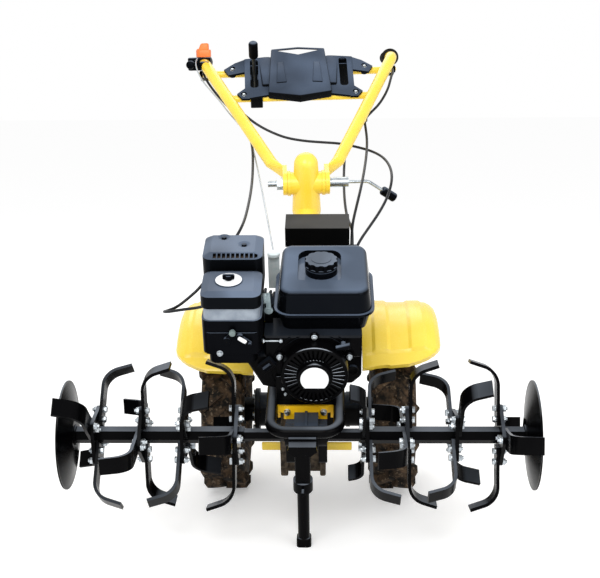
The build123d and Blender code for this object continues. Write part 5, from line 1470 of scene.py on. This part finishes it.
@dataclass
class Console:
    """Console in its own axes: a keeled panel with a V-shaped nose, shoulders, pads, a window and wings."""

    nose: float = -22.0
    nose_top: float = 17.0
    bend: float = 25.0
    bend_side: float = 20.0
    length: float = 174.0
    block_half: float = 100.0
    block_foot: float = -7.0
    block_top: float = 60.0
    hollow_foot: float = -40.0
    hollow_run: float = 40.0
    block_edge: float = 3.0
    shallow: float = 8.0
    low_half: float = 88.0
    top_half: float = 76.0
    keel_low: float = 27.0
    keel_top: float = 46.0
    fall: float = 6.0
    shoulder_drop: float = 7.0
    shoulders: Panel = Panel((-114, 38, -6), (114, 152, 50), (
        ((112, 148), (76, 172), (1, 1)), ((104, 38), (114, 148), (1, 0)),
    ))
    shoulder_edge: float = 4.0
    skin: float = 3.0
    pad: Panel = Panel((30, 31, 0), (70, 112, 70), (
        ((64, 31), (59, 112), (1, 0)), ((36, 31), (44, 112), (-1, 0)),
    ))
    pad_rise: float = 3.0
    pad_sink: float = 1.5
    pad_edge: float = 1.4
    window: Block = ((-57, 141, 10), (57, 167, 80))
    window_side: float = 163.0
    deck: Panel = Panel((82, -6, -12), (153, 152, 40), (
        ((95, 152), (153, 146), (0, 1)), ((95, 6), (153, -5), (0, -1)),
    ))
    low_ear: Panel = Panel((140, -5, -12), (176, 40, 40), (
        ((153, 34), (175, 14), (1, 1)), ((175, 14), (161, -5), (1, -1)),
    ))
    high_ear: Panel = Panel((146, 92, -12), (214, 150, 40), (
        ((146, 97), (199, 102), (0, -1)), ((199, 102), (212, 128), (1, -1)),
        ((212, 128), (181, 142), (1, 1)), ((181, 142), (146, 147), (0, 1)),
    ))
    high_ear_face: tuple[Point, Point, Point] = ((146, 100, 18.7), (146, 145, 27.0), (212, 120, 4.0))
    plate_t: float = 6.0
    plate_edge: float = 0.8
    plate_rise: float = 28.0
    plate_len: float = 150.0
    gear_u: float = 126.0
    gear_v: float = 84.0
    slot_half: float = 11.5
    slot_round: float = 8.0
    slot_low: Spot = (36.0, -40.0)
    slot_high: Spot = (142.0, 80.0)
    bracket_gap: float = 11.0
    bracket_half: Spot = (2.5, 13.0)
    bracket_foot: float = -58.0
    bracket_top: float = 8.0
    bracket_edge: float = 1.0
    box: Block = ((-138, 2, -40), (-104, 22, -4))
    box_edge: float = 3.0
    back_walls: tuple[float, ...] = (121.0, 140.0)
    back_from: float = 104.0
    back_to: float = 150.0
    back_t: float = 3.0
    back_foot: float = -60.0
    back_slope: float = 6.0
    back_edge: float = 0.6
    bush_r: float = 9.0
    bush_len: float = 18.0
    bush_foot: float = -13.0
    wing_screws: tuple[Point, ...] = ((156.0, 12.0, -1.3), (188.0, 122.0, 7.4))
    screw_bore: float = 8.5
    screw_bore_len: float = 30.0

    def keel(self, hand: int, drop: float = 0.0) -> Cut:
        """Returns one half of the keeled panel's face."""
        low, top = self.keel_low - drop, self.keel_top - drop
        corner = (hand * self.top_half, self.length, top - self.fall)
        return facet((0, self.bend, low), (0, self.length, top), corner, UP)

    def panel_cuts(self) -> list[Cut]:
        """Returns the planes of the middle panel: its face, brow, chin and flanks."""
        cuts = []
        for hand in (-1, 1):
            side = (hand * self.low_half, 0)
            cuts.append(self.keel(hand))
            cuts.append(facet((0, self.bend, self.keel_low), (side[0], self.bend, self.bend_side),
                              (0, self.nose, self.nose_top), UP))
            cuts.append(wall((0, self.nose), side, (0, -1, 0)))
            cuts.append(wall(side, (hand * self.top_half, self.length), (hand, 0, 0)))
        return cuts

    def shoulder_cuts(self) -> list[Cut]:
        """Returns the planes of the lower shoulders beside the panel."""
        cuts = []
        for hand in (-1, 1):
            cuts += [self.keel(hand, self.shoulder_drop), *self.shoulders.walls(hand)]
        return cuts

    def model_shell(self) -> Piece:
        """Models the hollow panel with its shoulders, pads and window.

        Returns:
            The shell, in the console's axes.
        """
        half, top = self.block_half, self.block_top
        low, high = (-half, self.nose, self.block_foot), (half, self.length, top)
        shell = rounded(carved(low, high, self.panel_cuts()), self.block_edge, 3, self.shallow)
        low, high = self.shoulders.low, self.shoulders.high
        wide = rounded(carved(low, high, self.shoulder_cuts()), self.shoulder_edge, 3, self.shallow)
        combined(shell, wide, Merge.WELD)
        for hand in (-1, 1):
            face = self.keel(hand, -self.pad_rise)
            pad = self.pad.model(hand, [face, under(face, self.pad_rise + self.pad_sink)])
            combined(shell, rounded(pad, self.pad_edge, 2), Merge.WELD)
        foot, skin = self.hollow_foot, self.skin
        far = (half, self.length + self.hollow_run, top)
        combined(shell, carved((-half, self.nose, foot), far, self.panel_cuts(), skin), Merge.CUT)
        near, far = (low[0] + skin, low[1] + skin, foot), (high[0] - skin, high[1] - skin, high[2])
        combined(shell, carved(near, far, self.shoulder_cuts(), skin), Merge.CUT)
        low, high = self.window
        cuts = [wall((0, low[1]), (hand * high[0], self.window_side), (0, -1, 0)) for hand in (-1, 1)]
        combined(shell, carved(low, high, cuts), Merge.CUT)
        return shell

    def model_wing(self, hand: int) -> Piece:
        """Models one side wing: a raised deck with a slot, a low ear, and a high ear that falls to its tube.

        Args:
            hand: -1 for the left wing, 1 for the right one.

        Returns:
            The wing, in the console's axes.
        """
        face = facet((0, 0, 0), (10, 0, 0), (0, self.plate_len, self.plate_rise), UP)
        faces = [face, under(face, self.plate_t)]
        wing = self.deck.model(hand, faces)
        combined(wing, self.low_ear.model(hand, faces), Merge.WELD)
        face = facet(*((hand * u, v, w) for u, v, w in self.high_ear_face), UP)
        combined(wing, self.high_ear.model(hand, [face, under(face, self.plate_t)]), Merge.WELD)
        low = (hand * (self.gear_u - self.slot_half), *self.slot_low)
        high = (hand * (self.gear_u + self.slot_half), *self.slot_high)
        combined(wing, rounded(carved(low, high), self.slot_round, 4), Merge.CUT)
        for u, v, foot in self.wing_screws:
            bore = turned_bar(self.screw_bore, self.screw_bore_len, 28, foot)
            bore.location = (hand * u * MM, v * MM, 0)
            combined(wing, joined([bore], "bore"), Merge.CUT)
        return rounded(wing, self.plate_edge, 2, 40.0)

    def model_fittings(self) -> list[Piece]:
        """Models the gear lever's bracket, the box below it, the slots' back walls and the bushes.

        Returns:
            The fittings, in the console's axes.
        """
        parts = []
        half_t, half = self.bracket_half
        for gap in (-self.bracket_gap, self.bracket_gap):
            u = gap - self.gear_u
            low = (u - half_t, self.gear_v - half, self.bracket_foot)
            high = (u + half_t, self.gear_v + half, self.bracket_top)
            parts.append(rounded(carved(low, high), self.bracket_edge, 2))
        parts.append(rounded(carved(*self.box), self.box_edge))
        for hand in (-1, 1):
            for v in self.back_walls:
                low = (hand * self.back_from, v, self.back_foot)
                high = (hand * self.back_to, v + self.back_t, v / self.back_slope)
                parts.append(rounded(carved(low, high), self.back_edge, 2))
            u, v, _ = self.wing_screws[-1]
            bush = turned_bar(self.bush_r, self.bush_len, 28, self.bush_foot)
            bush.location = (hand * u * MM, v * MM, 0)
            parts.append(bush)
        return parts

    def build(self) -> None:
        """Models the console with its wings and fittings, and the screws of the wings."""
        parts = [self.model_shell(), self.model_wing(-1), self.model_wing(1), *self.model_fittings()]
        shell = settled(parts, CONSOLE.place(), "console_shell")
        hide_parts("console")
        finish_piece(shell, CONSOLE_ABS, Body.HANDLEBAR, 30.0)
        spots = []
        for side in Side:
            for u, v, foot in self.wing_screws:
                spots.append(seat(CONSOLE.spot(side.value * u, v, foot), CONSOLE.off(), v))
        M5_SCREW.fit(spots, "console_screws", Body.HANDLEBAR)


@dataclass
class Throttle:
    """Thumb throttle in axes along its grip: an orange lever on a pivot above a black case on the tube."""

    hub_r: float = 13.0
    hub_half: float = 6.0
    hub_edge: float = 2.0
    arm: Block = ((-6, -52, -6), (13, 0, 2))
    arm_edge: float = 2.5
    pad: Block = ((-7, -62, -19), (36, -44, 2))
    pad_corner: tuple[Spot, Spot] = ((-7, -50), (4, -63))
    pad_edge: float = 6.0
    tongue: Block = ((-3, -60, -6), (31, -46, 20))
    tongue_slant: tuple[Point, Point, Point] = ((-3, -60, -6), (9, -60, 20), (9, -44, 20))
    tongue_edge: float = 5.0
    case: Block = ((-34, -41, -56), (32, -8, -19))
    case_edge: float = 5.0
    lump: Block = ((2, -58, -54), (31, -36, -31))
    lump_edge: float = 6.0
    boss_r: float = 12.0
    boss_len: float = 50.0
    boss_edge: float = 3.0
    boss_at: Point = (-24.0, -10.0, -40.0)
    neck_r: float = 9.0
    neck_len: float = 16.0
    neck_foot: float = -20.0
    neck_edge: float = 1.0

    def place(self) -> Matrix:
        """Returns the place of a piece that was modelled on the throttle's pivot."""
        pivot = MACHINE.joint("throttle")
        up = Vector(pivot["axis"]).normalized()
        along = Matrix.Rotation(radians(-MACHINE.handle_turn), 3, up) @ Vector((0, 1, 0))
        across = along.cross(up).normalized()
        return placed(Vector(pivot["pos_m"]), (across, up.cross(across), up))

    def build_lever(self) -> None:
        """Models the lever: a hub, an arm, and a thumb pad with a leaning tongue."""
        hub = turned_bar(self.hub_r, 2 * self.hub_half, 40, -self.hub_half, self.hub_edge)
        arm = rounded(carved(*self.arm), self.arm_edge)
        pad = carved(*self.pad, [wall(*self.pad_corner, (-1, -1, 0))])
        rounded(pad, self.pad_edge, 4)
        tongue = carved(*self.tongue, [facet(*self.tongue_slant, (-1, 0, 1))])
        rounded(tongue, self.tongue_edge, 4)
        lever = settled([hub, arm, pad, tongue], self.place(), "throttle_lever")
        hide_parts("throttle_flip")
        finish_piece(lever, ORANGE_MOULDING, Body.THROTTLE)

    def build_case(self) -> None:
        """Models the case with its lump, the boss along the grip and the pivot's neck."""
        case = rounded(carved(*self.case), self.case_edge, 4)
        lump = rounded(carved(*self.lump), self.lump_edge, 4)
        boss = turned_bar(self.boss_r, self.boss_len, 36, 0.0, self.boss_edge)
        boss.matrix_world = seat(Vector(self.boss_at) * MM, Vector((0, -1, 0)))
        neck = turned_bar(self.neck_r, self.neck_len, 32, self.neck_foot, self.neck_edge)
        case = settled([case, lump, boss, neck], self.place(), "throttle_case")
        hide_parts("throttle_body")
        finish_piece(case, BLACK_MOULDING, Body.HANDLEBAR)

    def build(self) -> None:
        """Models lever and case."""
        self.build_lever()
        self.build_case()


@dataclass
class Handlebar:
    """Neck, handle frame, console, grips, levers and the lock."""

    clips: tuple[Point, ...] = ((-176.0, 520.0, 596.0), (164.0, 530.0, 598.0))
    clip: Block = ((-9.0, -6.0, -8.0), (9.0, 6.0, 8.0))
    clip_edge: float = 3.0

    def build(self) -> None:
        """Models the console, the throttle and the clips of the cables."""
        Console().build()
        Throttle().build()
        places = [MACHINE.level(*spot) for spot in self.clips]
        clips = copies(rounded(carved(*self.clip), self.clip_edge), places, "cable_clips")
        finish_piece(clips, BLACK_MOULDING, Body.HANDLEBAR)

    def dress(self) -> None:
        """Dresses the yellow tubes, grips and levers."""
        dress(YELLOW_ENAMEL, "handle_neck", "handle_frame")
        dress(GRIP_RUBBER, "grip_left", "grip_right")
        dress(BLACK_MOULDING, "gear_knob", "lock_knob")
        dress(BLACK_ENAMEL, "hand_lever_left", "hand_lever_right")
        dress(ZINC_PLATE, "pivot_bolt", "lock_lever")
        dress(OILED_STEEL, "gear_lever")


@dataclass(frozen=True)
class Cable:
    """A control cable: the node that it stands for, and its route in the machine's frame."""

    name: str
    node: str
    radius: float
    finish: Finish
    route: tuple[Point, ...]


@dataclass
class Cables:
    """Control cables from the handlebar down to the machine, each laid once along a fixed route."""

    bend_from: Point = (0.0, 40.0, 530.0)
    bend_to: Point = (0.0, 430.0, 575.0)
    cables: tuple[Cable, ...] = field(default_factory=lambda: (
        Cable("sheath_left", "cable_left", 3.5, CABLE_SHEATH, (
            (-294.1, 740.2, 659.1), (-291.4, 696.0, 666.6), (-258, 650, 634), (-216, 592, 612),
            (-184, 535, 600), (-168, 503, 596), (-154, 478, 587), (-144, 448, 572), (-137, 400, 561),
            (-133, 330, 552),
            (-130, 245, 545), (-130, 150, 545), (-134, 55, 543), (-139, 0, 542), (-152, -42, 531),
            (-179, -64, 503), (-210, -80, 459), (-240, -95, 422), (-267, -113, 404), (-294, -130, 389),
            (-316, -148, 390), (-320, -172, 402), (-304, -192, 414), (-268, -203, 427), (-228, -213, 438),
            (-190, -198, 443), (-152, -158, 439), (-112, -125, 430), (-70, -113, 408),
        )),
        Cable("throttle_wire", "throttle_cable", 2.0, BARE_WIRE, (
            (-309, 764, 695.5), (-308, 739, 704.6), (-314, 712, 699), (-306, 690, 678), (-288, 664, 656),
            (-263, 632, 640), (-236, 592, 626), (-214, 553, 613), (-194, 522, 603), (-172, 510, 582),
            (-143, 499, 562), (-61, -111.4, 522),
        )),
        Cable("sheath_gear", "gear_cable", 3.5, CABLE_SHEATH, (
            (-172, 538, 614), (-150, 530, 597), (-124, 522, 581), (-92, 510, 568), (-51, 495, 557),
            (-1, 480, 554), (49, 470, 554), (98, 455, 557), (142, 428, 558), (182, 390, 562),
            (212, 335, 567), (227, 268, 567), (227, 203, 561), (214, 152, 541), (193, 100, 526),
            (167, 50, 511), (146, 5, 503), (131, -30, 492),
            (127, -46, 474),
        )),
        Cable("sheath_right", "cables_right", 3.5, CABLE_SHEATH, (
            (248.9, 772.5, 659.1), (251.6, 728.3, 666.6), (243, 680, 660), (232, 625, 645), (208, 578, 622),
            (181, 550, 606), (164, 520, 599), (168, 482, 585), (170, 430, 573), (166, 350, 567),
            (157, 250, 564), (147, 168, 557), (135, 105, 538), (124, 50, 517), (122, 12, 499), (121, 0, 478),
        )),
        Cable("sheath_reverse", "cables_right", 3.5, CABLE_SHEATH, (
            (155, 500, 592), (140, 496, 572), (117, 480, 547), (110, 430, 530), (107, 370, 516),
            (106, 290, 507), (107, 200, 504), (112, 110, 504), (123, 60, 502), (124, 34, 492), (124, 20, 474),
        )),
    ))

    def lay(self, cable: Cable) -> None:
        """Lays one cable as a smooth tube along its route.

        Args:
            cable: the cable.
        """
        curve = bpy.data.curves.new(cable.name, "CURVE")
        curve.dimensions = "3D"
        curve.bevel_depth = cable.radius * MM
        curve.bevel_resolution = 4
        curve.resolution_u = 10
        curve.use_fill_caps = True
        spline = curve.splines.new("NURBS")
        spline.points.add(len(cable.route) - 1)
        for point, spot in zip(spline.points, cable.route):
            point.co = (*MACHINE.point(*spot), 1.0)
        spline.order_u = 3
        spline.use_endpoint_u = True
        line = bpy.data.objects.new(cable.name, curve)
        bpy.context.collection.objects.link(line)
        only(line)
        bpy.ops.object.convert(target="MESH")
        tube = bpy.context.object
        bpy.ops.object.shade_smooth_by_angle(angle=radians(40.0))
        tube.data.materials.clear()
        tube.data.materials.append(cable.finish.material())
        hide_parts(cable.node)
        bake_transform(tube)
        LOG.info("laid %s", cable.name)

    def build(self) -> None:
        """Lays every cable."""
        for cable in self.cables:
            self.lay(cable)

    def dress(self) -> None:
        """Cables are dressed as they are laid."""


# Studio

@dataclass
class Studio:
    """Pale floor, white surroundings, soft lamps and the photograph's camera, in metres and watts."""

    camera_at: Point = (0.0714, -3.02415, 1.0542)
    yaw: float = -1.49
    pitch: float = 10.01
    roll: float = -0.4
    focal_px: float = 1183.8
    image_px: float = 600.0
    sensor_mm: float = 36.0
    floor_half: float = 30.0
    floor_colour: str = "#f4f4f4"
    floor_glow: float = 0.3
    white: str = "#ffffff"
    world_light: float = 0.75
    lamps: tuple[tuple[str, Point, float, float], ...] = (
        ("key_lamp", (-0.7, -3.7, 2.7), 2.6, 95.0),
        ("fill_lamp", (2.4, -3.2, 2.0), 2.4, 40.0),
        ("rear_lamp", (-0.4, 2.6, 3.4), 3.0, 45.0),
    )

    def build_camera(self) -> None:
        """Sets up the photograph's camera."""
        data = bpy.data.cameras.new("photo_camera")
        data.sensor_fit = "HORIZONTAL"
        data.sensor_width = self.sensor_mm
        data.lens = self.focal_px * self.sensor_mm / self.image_px
        camera = bpy.data.objects.new("photo_camera", data)
        bpy.context.collection.objects.link(camera)
        yaw, pitch, roll = radians(self.yaw), radians(self.pitch), radians(self.roll)
        ahead = Vector((sin(yaw) * cos(pitch), cos(yaw) * cos(pitch), -sin(pitch)))
        level = Vector((cos(yaw), -sin(yaw), 0.0))
        rise = level.cross(ahead)
        right = level * cos(roll) + rise * sin(roll)
        up = rise * cos(roll) - level * sin(roll)
        camera.matrix_world = placed(Vector(self.camera_at), (right, up, -ahead))
        bpy.context.scene.camera = camera

    def seen_white(self, tree: Tree) -> Socket:
        """Says whether a ray comes from the camera, a reflection or a see-through surface.

        Args:
            tree: the node tree that asks.

        Returns:
            A socket that is 1 for such a ray.
        """
        rays = add_node(tree, "ShaderNodeLightPath").outputs
        shine = add_node(tree, "ShaderNodeMath", {"operation": "MAXIMUM"},
                         {0: rays["Is Camera Ray"], 1: rays["Is Glossy Ray"]})
        every = add_node(tree, "ShaderNodeMath", {"operation": "MAXIMUM"},
                         {0: shine.outputs[0], 1: rays["Is Transmission Ray"]})
        return every.outputs[0]

    def build_world(self) -> None:
        """Surrounds the object with white that lights it softly."""
        world = bpy.data.worlds.new("white_room")
        world.use_nodes = True
        tree = world.node_tree
        tree.nodes.clear()
        level = add_node(tree, "ShaderNodeMapRange", {"To Min": self.world_light, "To Max": 1.0},
                         {"Value": self.seen_white(tree)})
        light = add_node(tree, "ShaderNodeBackground", {"Color": linear(self.white)},
                         {"Strength": level.outputs[0]})
        add_node(tree, "ShaderNodeOutputWorld", links={"Surface": light.outputs[0]})
        bpy.context.scene.world = world

    def build_floor(self) -> None:
        """Lays a pale floor that keeps the shadow and runs into the white."""
        deselect()
        bpy.ops.mesh.primitive_plane_add(size=2 * self.floor_half, location=(0, 0, 0))
        floor = bpy.context.object
        floor.name = "floor"
        material = bpy.data.materials.new("pale_floor")
        material.use_nodes = True
        tree = material.node_tree
        tree.nodes.clear()
        matt = add_node(tree, "ShaderNodeBsdfDiffuse", {"Color": linear(self.floor_colour)})
        glow = add_node(tree, "ShaderNodeEmission",
                        {"Color": linear(self.white), "Strength": self.floor_glow})
        both = add_node(tree, "ShaderNodeAddShader", links={0: matt.outputs[0], 1: glow.outputs[0]})
        mix = add_node(tree, "ShaderNodeMixShader", links={0: self.seen_white(tree), 1: matt.outputs[0],
                                                           2: both.outputs[0]})
        add_node(tree, "ShaderNodeOutputMaterial", links={"Surface": mix.outputs[0]})
        floor.data.materials.append(material)

    def build_lamps(self) -> None:
        """Hangs the soft lamps, aimed at the middle of the object."""
        middle = (CAD_BOX[0] + CAD_BOX[1]) / 2
        for name, at, size, power in self.lamps:
            data = bpy.data.lights.new(name, "AREA")
            data.shape = "DISK"
            data.size = size
            data.energy = power
            lamp = bpy.data.objects.new(name, data)
            aim = (middle - Vector(at)).to_track_quat("-Z", "Y").to_matrix().to_4x4()
            lamp.matrix_world = Matrix.Translation(at) @ aim
            bpy.context.collection.objects.link(lamp)

    def build(self) -> None:
        """Builds the whole studio."""
        bpy.context.scene.view_settings.view_transform = "Standard"
        self.build_camera()
        self.build_world()
        self.build_floor()
        self.build_lamps()


def main() -> None:
    """Builds and dresses the sub-assemblies in order, then the studio."""
    logging.basicConfig(level=logging.INFO, format="%(name)s: %(message)s")
    for assembly in (Rotor(), Wheels(), Chassis(), Engine(), AirAndExhaust(), Handlebar(), Cables()):
        assembly.build()
        assembly.dress()
        LOG.info("finished %s", type(assembly).__name__)
    Studio().build()
    deselect()


if __name__ == "__main__":
    main()
